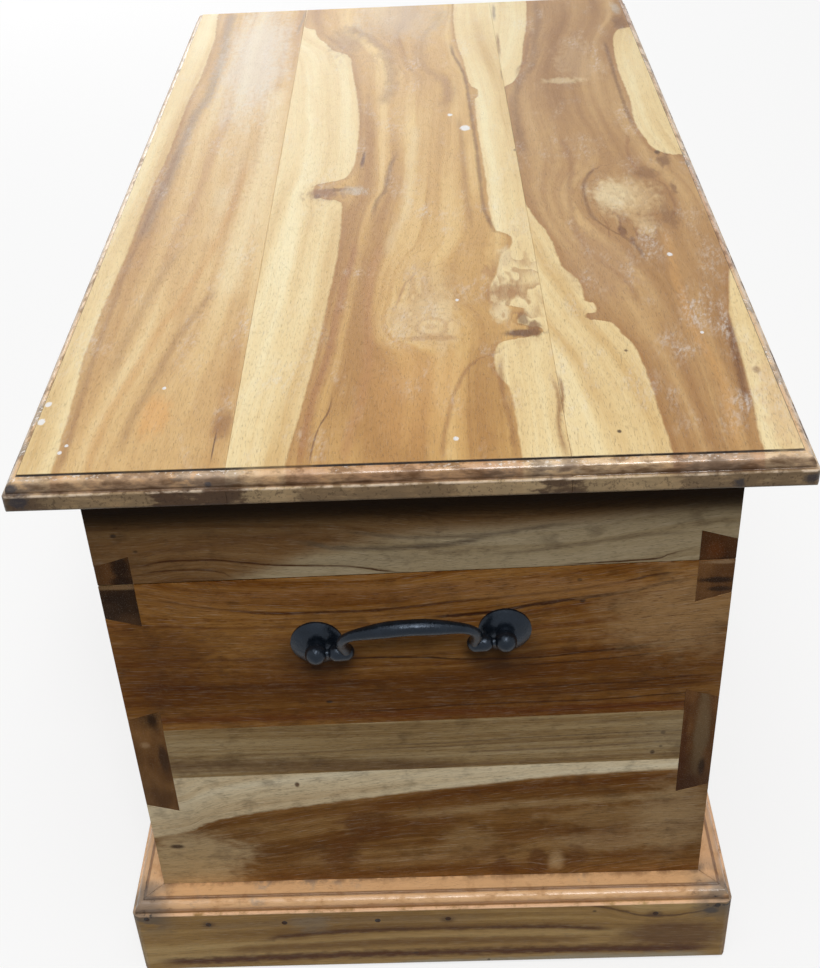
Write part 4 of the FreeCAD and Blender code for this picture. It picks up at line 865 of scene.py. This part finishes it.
# the near end: three boards glued edge to edge under the sawn-off skirt
endLook = {"grain": "yzx", "span": (-230, 230), "wander": 4, "crisp": 0.34, "lines": 0.25}
growthLine = tone(84, 48, 20)
deepBrown = tone(62, 32, 10)
endBoards = {
    "lid_skirt_near": {
        "seed": 2.2, "level": 440, "growth": 6, "soft": 10, "edge": 0.2, "dashes": (tone(112, 84, 54), 0.3),
        "heart": (tone(114, 76, 42), tone(136, 98, 58), tone(158, 121, 78)),
        "sap": (tone(172, 148, 110), tone(194, 172, 134), tone(210, 191, 156)),
        "flow": [
            [(-221, 421), (-191, 421), (-157, 425), (-120, 422), (-89, 418), (-52, 416), (-16, 410),
             (60, 408), (130, 410), (190, 419), (221, 423)],
            [(-221, 470), (-60, 468), (60, 452), (221, 474)],
        ],
        "sapwood": [
            (-1, [(-230, 384), (-150, 398), (-104, 414), (-60, 430), (-7, 441), (80, 446), (230, 462)]),
        ],
        "streaks": [
            ([(-200, 419), (-191, 420.5), (-157, 425), (-120, 421.8), (-89, 418), (-52, 416), (-16, 410),
              (0, 408)], 1.5, growthLine, 1.1),
            ([(-200, 412), (-191, 413.6), (-161, 416.8), (-134, 413.6), (-116, 407.7)], 1.3, growthLine, 1.0),
            ([(93, 411), (130, 412), (166, 413.6), (195, 420.5)], 1.3, growthLine, 1.0),
            ([(-90, 438), (-52, 432), (0, 430), (66, 438)], 4, tone(118, 102, 82), 0.8),
            ([(-60, 446), (20, 438), (120, 446)], 3, tone(118, 102, 82), 0.6),
            ([(-190, 434), (-120, 440), (-40, 446)], 5, tone(120, 84, 52), 0.5),
            ([(40, 422), (110, 428), (200, 436)], 3, tone(140, 120, 92), 0.6),
        ],
        "spots": [
            (-203, 448, 2.5, 2, tone(50, 34, 24), 0.9, 0.3), (-190, 434, 2, 1.6, tone(60, 40, 26), 0.8, 0.3),
            (-30, 420, 50, 7, tone(184, 166, 134), 0.5, 0.8),
        ],
    },
    "near_end_upper": {
        "seed": 5.6, "level": 336, "growth": 7, "dashes": (tone(84, 36, 10), 0.6),
        "heart": (tone(98, 54, 14), tone(132, 82, 30), tone(168, 118, 60)),
        "flow": [
            [(-230, 266), (230, 272)],
            [(-230, 292), (0, 292), (230, 298)],
            [(-230, 330), (0, 322), (100, 330), (230, 336)],
            [(-230, 362), (-134, 364), (30, 368), (93, 377), (150, 384), (230, 397)],
            [(-230, 402), (-191, 391), (-134, 380), (-43, 375), (-7, 377), (30, 381), (93, 386), (139, 393),
             (193, 401), (230, 406)],
        ],
        "streaks": [
            ([(-200, 392), (-191, 391), (-134, 379.5), (-89, 375), (-43, 375), (-7, 377), (30, 381),
              (93, 386), (139, 393), (196, 401)], 2.2, tone(86, 46, 14), 1.1),
            ([(0, 367), (30, 368), (93, 377), (150, 385), (200, 394)], 2.6, tone(70, 36, 12), 1.3),
            ([(-200, 366), (-120, 362), (0, 362), (90, 370), (200, 384)], 2.5, tone(112, 66, 32), 0.6),
            ([(-140, 350), (0, 350), (120, 358), (221, 372)], 5, tone(124, 74, 36), 0.5),
            ([(-100, 326), (-30, 330), (60, 325), (120, 329), (190, 338), (221, 342)], 1.4, deepBrown, 0.9),
            ([(60, 318), (110, 320), (170, 326), (221, 330)], 1.2, deepBrown, 0.8),
            ([(11, 293), (80, 296), (150, 298), (221, 303)], 1.4, deepBrown, 1.0),
            ([(11, 286), (90, 288), (160, 292), (221, 296)], 1.0, deepBrown, 0.7),
            ([(-60, 276), (40, 280), (120, 281), (221, 286)], 1.2, deepBrown, 0.9),
            ([(60, 271), (140, 273), (221, 277)], 1.4, deepBrown, 0.9),
            ([(-221, 306), (-120, 304), (-20, 306)], 6, tone(84, 46, 16), 0.8),
            ([(-221, 296), (0, 294), (221, 300)], 34, tone(98, 56, 16), 0.55),
            ([(-221, 330), (-160, 332), (-90, 330)], 4, tone(100, 58, 26), 0.5),
            ([(-221, 272), (0, 271), (221, 274)], 7, tone(112, 58, 22), 0.7),
            ([(100, 344), (160, 350), (221, 356)], 6, tone(172, 124, 76), 0.5),
            ([(-180, 386), (-120, 392), (60, 396), (180, 392)], 5, tone(160, 112, 68), 0.45),
        ],
        "spots": [
            (114.5, 396.8, 2.2, 2, tone(50, 28, 14), 0.95, 0.3), (117, 378, 2.4, 2.2, tone(50, 28, 14),
                                                                  0.95, 0.3),
            (-68, 287, 3, 1.6, tone(46, 26, 14), 0.9, 0.4), (22, 368, 1.6, 1.4, tone(60, 34, 16), 0.8, 0.3),
            (-72, 321, 20, 4, tone(84, 54, 32), 0.6, 0.7), (57, 318, 14, 4, tone(84, 54, 32), 0.6, 0.7),
            (188, 360, 62, 46, tone(194, 154, 106), 0.7, 0.8), (-213, 366, 10, 8, tone(150, 100, 56), 0.5,
                                                                0.7),
            (-150, 387, 70, 15, tone(166, 118, 66), 0.4, 0.9), (70, 391, 110, 11, tone(176, 128, 78), 0.5,
                                                                0.9),
            (-196, 334, 60, 44, tone(92, 46, 12), 0.6, 0.9), (-90, 322, 60, 26, tone(100, 52, 14), 0.4, 1.0),
            (-60, 390, 50, 10, tone(160, 110, 62), 0.3, 0.9),
        ],
    },
    "near_end_middle": {
        "seed": 7.9, "level": 238, "wander": 2, "growth": 5, "crisp": 0.36, "lines": 0.3,
        "dashes": (tone(96, 68, 42), 0.4),
        "heart": (tone(146, 114, 72), tone(174, 144, 98), tone(198, 172, 129)),
        "flow": [
            [(-230, 214), (0, 218), (230, 222)],
            [(-230, 262), (-160, 264), (0, 262), (230, 268)],
        ],
        "streaks": [
            ([(-221, 224), (-120, 222), (-40, 220), (40, 216)], 11, tone(122, 92, 60), 0.9),
            ([(-221, 216), (0, 216), (221, 222)], 3, tone(134, 104, 72), 0.6),
            ([(-160, 233), (-20, 236), (120, 240), (221, 242)], 1.6, tone(132, 104, 72), 0.7),
            ([(-40, 240), (100, 244), (221, 247)], 1.4, tone(128, 104, 76), 0.7),
            ([(20, 230), (120, 232), (221, 236)], 2.0, tone(128, 102, 74), 0.7),
            ([(-195, 248), (-60, 247), (60, 252), (200, 256)], 4, tone(190, 162, 116), 0.5),
            ([(110, 258), (221, 262)], 3, tone(122, 98, 70), 0.5),
        ],
        "spots": [
            (182, 245, 2.4, 2.8, tone(70, 42, 24), 0.95, 0.4), (175, 224, 2, 2.6, tone(66, 42, 26), 0.9, 0.4),
            (181, 230, 1.6, 1.6, tone(66, 42, 26), 0.8, 0.4), (190, 242, 40, 20, tone(180, 160, 126), 0.4,
                                                               0.8),
        ],
    },
    "near_end_lower": {
        "seed": 11.4, "level": 120, "wander": 7, "growth": 14, "soft": 1.6, "edge": 0.4, "lines": 0.2,
        "dashes": (tone(104, 64, 30), 0.3),
        "heart": (tone(102, 63, 26), tone(130, 88, 42), tone(166, 126, 76)),
        "sap": (tone(214, 186, 144), tone(232, 210, 170), tone(243, 227, 193)),
        "flow": [
            [(-230, 60), (-100, 62), (0, 66), (120, 74), (230, 84)],
            [(-230, 118), (-150, 122), (-60, 140), (60, 152), (230, 160)],
            [(-230, 141), (-191, 148), (-175, 157), (-143, 166), (-89, 175), (-43, 182), (-7, 187),
             (48, 193), (93, 199), (139, 202), (230, 206)],
        ],
        "bulges": [(102, 100, 16, 16, 0.8)],
        "sapwood": [
            (1, [(-230, 139), (-191, 148), (-175, 157), (-143, 166), (-89, 175), (-43, 182), (-7, 187),
                 (48, 193), (93, 199), (139, 202), (230, 205)]),
        ],
        "streaks": [
            ([(-60, 170), (20, 183), (80, 189), (139, 193), (221, 196)], 10, tone(108, 64, 24), 0.95),
            ([(-140, 158), (-80, 164), (0, 172), (60, 178)], 8, tone(122, 78, 34), 0.7),
            ([(-30, 158), (60, 168), (140, 172), (221, 176)], 8, tone(190, 156, 108), 0.6),
            ([(-100, 96), (-66, 128), (-20, 148), (40, 152)], 16, tone(112, 68, 28), 0.75),
            ([(40, 128), (110, 134), (221, 140)], 7, tone(124, 80, 38), 0.6),
            ([(-150, 88), (-60, 90), (40, 94), (110, 88)], 10, tone(112, 70, 30), 0.75),
            ([(120, 108), (160, 104), (221, 110)], 8, tone(116, 72, 32), 0.75),
            ([(-120, 104), (-20, 106), (80, 108)], 5, tone(176, 140, 96), 0.5),
        ],
        "spots": [
            (-192, 116, 52, 36, tone(212, 184, 140), 0.85, 0.8), (-206, 96, 62, 34, tone(206, 174, 126),
                                                                  0.8, 0.7),
            (142, 122, 46, 14, tone(196, 164, 120), 0.6, 1.0),
            (-48, 150, 26, 16, tone(104, 62, 24), 0.8, 1.2), (46, 118, 30, 16, tone(112, 70, 30), 0.7, 1.2),
            (-72, 118, 16, 30, tone(112, 68, 28), 0.7, 1.2), (36, 128, 30, 18, tone(184, 148, 98), 0.5, 1.0),
            (150, 150, 60, 18, tone(180, 144, 96), 0.5, 1.0),
            (104, 100, 8, 13, tone(196, 164, 120), 0.8, 0.8), (90, 102, 9, 18, tone(104, 64, 34), 0.7, 1.3),
            (120, 106, 14, 18, tone(104, 64, 34), 0.6, 1.4), (-204, 129.5, 7, 3, tone(60, 40, 26), 0.9, 0.5),
            (-100, 198.6, 2.2, 3, tone(90, 58, 34), 0.9, 0.4), (150, 128, 30, 16, tone(142, 100, 58), 0.4,
                                                                0.9),
            (196, 150, 34, 46, tone(200, 168, 124), 0.6, 0.9), (60, 92, 10, 14, tone(110, 70, 38), 0.6, 1.0),
        ],
    },
}


endWear = {
    "dust": tone(190, 174, 144), "dirt": tone(70, 46, 28), "gloss": 0.05,
    "sootAndShade": tone(24, 12, 5), "shadeHeights": (449, 468),    # painted shadow under the overhang of the lid
    "roseDark": tone(60, 36, 20), "roseDarks": [(-73, 332), (63, 332)], "roseDarkReach": (34, 26),    # darker patches below the roses
}


def endPaint(name, board):
    paint, colour, rough, height, (x, y, z) = timber(name, {**endLook, **board})
    fuzz = paint.noise(x / 4, y / 3, z / 2, 4, 0.75)
    dust = paint.noise(x / 40, y / 34, z / 30, 3, 0.6).step(0.45, 0.7) * fuzz.step(0.42, 0.7)
    colour = paint.mix(colour, endWear["dust"], dust * 0.10)
    grime = paint.noise(x / 30, y / 26, z / 18, 4, 0.65).step(0.5, 0.72)
    colour = paint.mix(colour, endWear["dirt"], grime * 0.35)
    # painted shadow: near black just under the overhang of the lid
    colour = paint.mix(colour, endWear["sootAndShade"], z.step(*endWear["shadeHeights"]) * 0.9)
    # darker patches below the roses
    for spot, up in endWear["roseDarks"]:
        roseDark = paint.use(oval, y, z, spot, up, *endWear["roseDarkReach"], grime * 0.3, 1.2, 0.5)
        colour = paint.mix(colour, endWear["roseDark"], roseDark * 0.55)
    return paint.finish(colour, rough + dust * 0.1, height, Specular_IOR_Level=endWear["gloss"])


for name, board in endBoards.items():
    give(name, endPaint("teak_" + name, board))
print("near end painted")


# the long sides, with the dark end grain of their dovetails
redHeart = (tone(116, 68, 28), tone(150, 100, 50), tone(184, 138, 86))
brownHeart = (tone(126, 84, 44), tone(162, 117, 70), tone(194, 152, 102))
paleHeart = (tone(158, 122, 78), tone(188, 154, 106), tone(212, 182, 138))
dullSap = (tone(204, 174, 130), tone(222, 196, 154), tone(234, 214, 178))
sootAndShade = tone(44, 26, 14)
frontUpper = {
    "seed": 23, "heart": paleHeart, "growth": 13, "dashes": (tone(120, 84, 50), 0.3),
    "bulges": [(-180, 380, 50, 26, 0.9)],
    "veins": [(-180, 380, 110, 40, tone(124, 82, 46), 0.7)],
    "spots": [(-178, 381, 13, 8, tone(84, 52, 30), 0.8, 0.9)],
}
backUpper = {
    "seed": 24, "heart": redHeart, "growth": 9, "dashes": (tone(84, 40, 14), 0.5),
    "streaks": [([(-440, 366), (-150, 378), (150, 374), (440, 362)], 4, tone(86, 48, 20), 0.7)],
}
sideBoards = {
    "lid_skirt_front": {**frontUpper, "endGrain": (tone(80, 52, 28), tone(122, 82, 46)),
                        "endSpots": [(420, 14, -203, 7, sootAndShade, 0.95), (408, 5, -205, 9, sootAndShade, 0.9)]},
    "lid_skirt_back": {**backUpper, "endGrain": (tone(72, 42, 20), tone(106, 68, 38)),
                       "endSpots": [(419, 9, 206, 7, tone(122, 66, 28), 0.5), (410, 3, 208, 14, sootAndShade, 0.6)]},
    "front_board_upper": {**frontUpper, "endGrain": (tone(48, 30, 16), tone(74, 49, 28)),
                          "endSpots": [(402.6, 2.2, -210, 16, tone(168, 132, 92), 0.8),
                                       (394, 7, -212, 9, sootAndShade, 0.7),
                                       (370, 9, -204, 12, tone(100, 70, 44), 0.7)]},
    "back_board_upper": {**backUpper, "endGrain": (tone(112, 74, 42), tone(150, 106, 64)),
                         "endSpots": [(409, 1.8, 209, 14, tone(190, 156, 118), 0.7),
                                      (393, 2.8, 208, 16, sootAndShade, 0.9),
                                      (385, 2.4, 211, 11, sootAndShade, 0.8),
                                      (373, 6, 207, 9, tone(92, 58, 32), 0.6)]},
    "front_board_lower": {
        "seed": 25, "heart": brownHeart, "sap": dullSap, "growth": 12,
        "sapwood": [(1, [(-450, 276), (-260, 262), (-60, 270), (120, 290), (300, 284), (450, 262)])],
        "veins": [(210, 150, 130, 60, tone(112, 70, 36), 0.6)], "bulges": [(210, 150, 60, 34, 0.8)],
        "spots": [(212, 150, 15, 10, tone(86, 52, 28), 0.8, 0.9)],
        "endGrain": (tone(104, 68, 36), tone(152, 110, 66)),
        "endSpots": [(274, 13, -204, 8, sootAndShade, 0.95), (232, 18, -200, 4, tone(72, 50, 34), 0.85),
                     (247, 4, -212, 4, tone(190, 156, 116), 0.6),
                     (186, 16, -205, 12, tone(100, 66, 36), 0.7)],
    },
    "back_board_lower": {
        "seed": 26, "heart": brownHeart, "sap": dullSap, "growth": 12,
        "sapwood": [(-1, [(-450, 96), (-200, 118), (60, 110), (260, 126), (450, 104)])],
        "bulges": [(-120, 240, 70, 36, 0.8)], "veins": [(-120, 240, 150, 60, tone(110, 68, 34), 0.6)],
        "spots": [(-122, 240, 14, 10, tone(86, 52, 28), 0.8, 0.9)],
        "endGrain": (tone(88, 56, 30), tone(128, 88, 52)),
        "endSpots": [(244, 44, 211, 6, tone(134, 112, 82), 0.7), (236, 60, 198, 3.4, tone(84, 46, 22), 0.75),
                     (184, 12, 206, 12, tone(74, 40, 18), 0.7), (206, 10, 214, 3, sootAndShade, 0.8)],
    },
}
sideLook = {"grain": "xzy", "ends": 452.6, "wander": 7, "level": 250, "crisp": 0.28, "lines": 0.2,
            "gloss": 0.04}


def plainPaint(name, board):
    paint, colour, rough, height, place = timber(name, board)
    return paint.finish(colour, rough, height, Specular_IOR_Level=board["gloss"])


for name, board in sideBoards.items():
    give(name, plainPaint("teak_" + name, {**sideLook, **board}))

# every other board takes the same recipe with its own seed
plainBoards = {
    "lid_skirt_far": ("yzx", 32, redHeart), "far_end_upper": ("yzx", 32, redHeart),
    "far_end_middle": ("yzx", 33, paleHeart), "far_end_lower": ("yzx", 34, brownHeart),
    "floor_board_1": ("yxz", 41, brownHeart), "floor_board_2": ("yxz", 42, paleHeart),
    "floor_board_3": ("yxz", 43, brownHeart), "floor_board_4": ("yxz", 44, redHeart),
    "floor_board_5": ("yxz", 45, paleHeart), "floor_cleat_near": ("yzx", 46, brownHeart),
    "floor_cleat_far": ("yzx", 47, brownHeart), "floor_cleat_front": ("xzy", 48, brownHeart),
    "floor_cleat_back": ("xzy", 49, brownHeart), "lid_batten_near": ("yzx", 50, brownHeart),
    "lid_batten_far": ("yzx", 51, paleHeart),
}
plainLook = {"wander": 7, "growth": 11, "crisp": 0.28, "lines": 0.2, "dashes": (tone(98, 58, 26), 0.3),
             "gloss": 0.3}
farFigure = {
    "far_end_lower": {
        "level": 120, "sap": dullSap, "sapwood": [(1, [(-230, 176), (-60, 164), (90, 182), (230, 200)])],
        "bulges": [(90, 96, 40, 24, 0.8)], "veins": [(90, 96, 90, 36, tone(108, 66, 34), 0.6)],
    },
    "far_end_upper": {"level": 330, "bulges": [(-60, 300, 46, 20, 0.9)],
                      "spots": [(-60, 300, 11, 7, tone(78, 46, 24), 0.8, 0.9)]},
}
for name, (grain, seed, heart) in plainBoards.items():
    look = {**plainLook, "grain": grain, "seed": seed, "heart": heart, **farFigure.get(name, {})}
    give(name, plainPaint("teak_" + name, look))
print("sides and floor painted")


# plinth: pinkish worn ledge with painted light on its top, grey-brown faces, painted shade in the quirk and
# hollows, dirt at the corners
plinthLook = {
    "growth": 11, "wander": 5, "crisp": 0.34, "lines": 0.2, "dashes": (tone(104, 66, 30), 0.25),
    "heart": (tone(150, 112, 60), tone(186, 147, 88), tone(212, 177, 119)),
}
plinthBoards = {
    "plinth_near": {
        "grain": "yzx", "seed": 61, "span": (-250, 250), "level": 40,
        "flow": [
            [(-250, 8), (-150, 12), (0, 14), (150, 14), (250, 10)],
            [(-250, 34), (-126, 42), (2, 48), (150, 45), (250, 38)],
            [(-250, 72), (60, 74), (136, 72), (187, 58), (231, 68), (250, 74)],
        ],
        "streaks": [
            ([(-240, 12), (-126, 15), (0, 17), (150, 16), (240, 15)], 8, tone(96, 54, 18), 1.1),
            ([(-150, 38), (-126, 43), (2, 49), (100, 47), (160, 43)], 5, tone(96, 58, 22), 1.0),
            ([(-180, 26), (0, 32), (140, 30)], 8, tone(118, 78, 36), 0.7),
            ([(110, 76), (136, 72), (160, 64), (187, 58), (210, 60), (231, 67), (246, 74)], 2.2,
             tone(90, 56, 32), 0.9),
            ([(-40, 4), (0, 4), (60, 4), (120, 6), (240, 6)], 6, tone(196, 180, 152), 1.0),
            ([(-200, 58), (-80, 62), (60, 62)], 7, tone(168, 138, 98), 0.5),
        ],
        "spots": [
            (200, 32, 54, 22, tone(92, 50, 20), 0.75, 0.5), (-184, 61, 7, 5, tone(84, 56, 36), 0.6, 0.6),
            (14, 60, 8, 5, tone(84, 56, 36), 0.6, 0.6), (184, 60, 8, 5, tone(84, 56, 36), 0.6, 0.6),
            (229, 63, 6, 4, tone(44, 46, 56), 0.85, 0.9), (134, 66, 2, 1.6, tone(60, 42, 28), 0.7, 0.4),
            (-14, 17, 3, 1.6, tone(64, 42, 26), 0.8, 0.4), (47, 4, 1.6, 3, tone(60, 40, 26), 0.8, 0.3),
            (-100, 60, 18, 14, tone(150, 140, 124), 0.4, 1.0),
        ],
    },
    "plinth_far": {"grain": "yzx", "seed": 62, "heart": brownHeart},
    "plinth_front": {"grain": "xzy", "seed": 63, "heart": paleHeart},
    "plinth_back": {"grain": "xzy", "seed": 64, "heart": brownHeart},
}
plinthWear = {    # places in millimetres
    "half": (478, 246),    # the outer faces, from the middle
    "out": {    # where each zone begins and is full; 0 is the outer face, and less is further in
        "quirk": ((-12.6, -11.4), (-8.6, -9.8)), "foot": ((-5.4, -3.8), (-2.2, -3.2)), "root": (-18, -25),
        "arris": (-3.2, -2.2), "corner": (-42, -16), "cornerTip": (-4, -1),
    },
    "up": {"top": (74.5, 76.5), "quirk": (81.5, 82.8), "foot": (79, 77), "arris": (72.2, 73),
           "dirt": (40, 70)},
    "ledge": tone(240, 190, 142), "ledgeBrown": tone(176, 128, 88), "ledgeGrey": tone(158, 150, 140),
    "quirk": tone(88, 50, 28), "foot": tone(150, 100, 62), "root": tone(110, 78, 54),
    "arris": tone(250, 206, 166), "cornerGrey": tone(104, 96, 88), "cornerBlack": tone(40, 44, 54),
    "cornerTip": tone(96, 74, 54), "gloss": 0.12, "coatRough": 0.22,
}


def plinthPaint(name, board):
    look, zone, level = plinthWear, plinthWear["out"], plinthWear["up"]
    paint, colour, rough, height, (x, y, z) = timber(name, {**plinthLook, **board})
    alongOut, acrossOut = abs(x) - look["half"][0], abs(y) - look["half"][1]
    out, corner = alongOut.most(acrossOut), alongOut.least(acrossOut)    # corner nears 0 at the mitres alone
    grime = paint.noise(x / 14, y / 14, z / 6, 4, 0.65)
    patch = paint.noise(x / 44, y / 44, z / 20, 3, 0.6)
    # the ledge's top: pale with wear, and lighter still as painted light from above
    top = z.step(*level["top"])
    ledge = paint.mix(colour, look["ledge"], 0.72)
    ledge = paint.mix(ledge, look["ledgeBrown"], grime.step(0.5, 0.75) * 0.5)
    ledge = paint.mix(ledge, look["ledgeGrey"], patch.step(0.56, 0.68) * grime.step(0.42, 0.6) * 0.6)
    colour = paint.mix(colour, ledge, top)
    # painted shade in the quirk, at the foot of the moulding and, patchy, where the ledge meets the case
    for part, strength in (("quirk", 0.65), ("foot", 0.6)):
        hollow = out.between(*zone[part]) * z.step(*level[part])
        colour = paint.mix(colour, look[part], hollow * strength)
    colour = paint.mix(colour, look["root"], out.step(*zone["root"]) * grime.step(0.35, 0.6) * 0.6)
    # the arris: pale with wear, and with a painted highlight
    arris = out.step(*zone["arris"]) * z.step(*level["arris"])
    colour = paint.mix(colour, look["arris"], arris * grime.step(0.75, 0.45) * 0.85)
    # dirt gathers at the upright corners
    dirt = corner.step(*zone["corner"]) * patch.step(0.34, 0.50) * z.step(*level["dirt"])
    colour = paint.mix(colour, look["cornerGrey"], dirt * 0.75)
    colour = paint.mix(colour, look["cornerBlack"], dirt * grime.step(0.58, 0.66) * 0.8)
    colour = paint.mix(colour, look["cornerTip"], corner.step(*zone["cornerTip"]) * 0.5)
    coat = top * grime.step(0.65, 0.4) * 0.7
    return paint.finish(colour, rough, height + grime * 0.8, Specular_IOR_Level=look["gloss"],
                        Coat_Weight=coat, Coat_Roughness=look["coatRough"])


for name, board in plinthBoards.items():
    give(name, plinthPaint("teak_" + name, board))
print("plinth painted")


# metal
untinted = (1, 1, 1, 1)
metals = {
    "cast_iron": {
        "dark": (0.0035, 0.0050, 0.0075, 1), "pale": (0.010, 0.014, 0.021, 1), "rust": tone(58, 46, 40),
        "rusty": 0.68, "rough": 0.25, "metallic": 0.0, "gloss": 0.34, "grain": 2.2, "tint": (0.66, 0.8, 1, 1),
    },
    "wrought_iron": {
        "dark": (0.020, 0.020, 0.022, 1), "pale": (0.055, 0.052, 0.050, 1), "rust": tone(104, 62, 38),
        "rusty": 0.58, "rough": 0.45, "metallic": 0.5, "gloss": 0.4, "grain": 3.0, "tint": untinted,
    },
    "steel": {
        "dark": (0.16, 0.15, 0.14, 1), "pale": (0.34, 0.33, 0.32, 1), "rust": tone(100, 66, 42),
        "rusty": 0.55, "rough": 0.38, "metallic": 0.85, "gloss": 0.5, "grain": 2.0, "tint": untinted,
    },
    "nails": {
        "dark": (0.020, 0.016, 0.014, 1), "pale": (0.08, 0.07, 0.065, 1), "rust": tone(80, 54, 36),
        "rusty": 0.5, "rough": 0.6, "metallic": 0.3, "gloss": 0.3, "grain": 2.0, "tint": untinted,
    },
}


def metalPaint(name, metal):
    paint = Paint(name)
    x, y, z = paint.place()
    fine = paint.noise(x / metal["grain"], y / metal["grain"], z / metal["grain"], 3, 0.6)
    broad = paint.noise(x / 11, y / 11, z / 11, 3, 0.6)
    colour = paint.mix(metal["dark"], metal["pale"], broad.step(0.35, 0.7) * 0.7 + fine * 0.3)
    rust = paint.noise(x / 3.5, y / 3.5, z / 3.5, 4, 0.7).step(metal["rusty"], metal["rusty"] + 0.05)
    colour = paint.mix(colour, metal["rust"], rust * 0.8)
    rough = fine * 0.16 + rust * 0.3 + (metal["rough"] - 0.08)
    return paint.finish(colour, rough, fine + broad * 1.5, Metallic=metal["metallic"],
                        Specular_IOR_Level=metal["gloss"], Specular_Tint=metal["tint"])


paints = {name: metalPaint(name, metal) for name, metal in metals.items()}
ironPieces = {
    "cast_iron": ("rose_front", "rose_back", "bail"),
    "wrought_iron": ("box_leaf", "lid_leaf", "pin"),
    "nails": ("plinth_nails", "floor_nails"),
    "steel": ("screws", "screw", "washers", "nuts", "stay_arm"),
}
for name in frame["nodes"]:
    for metal, endings in ironPieces.items():
        if name.endswith(endings):
            give(name, paints[metal])
print("metal painted")
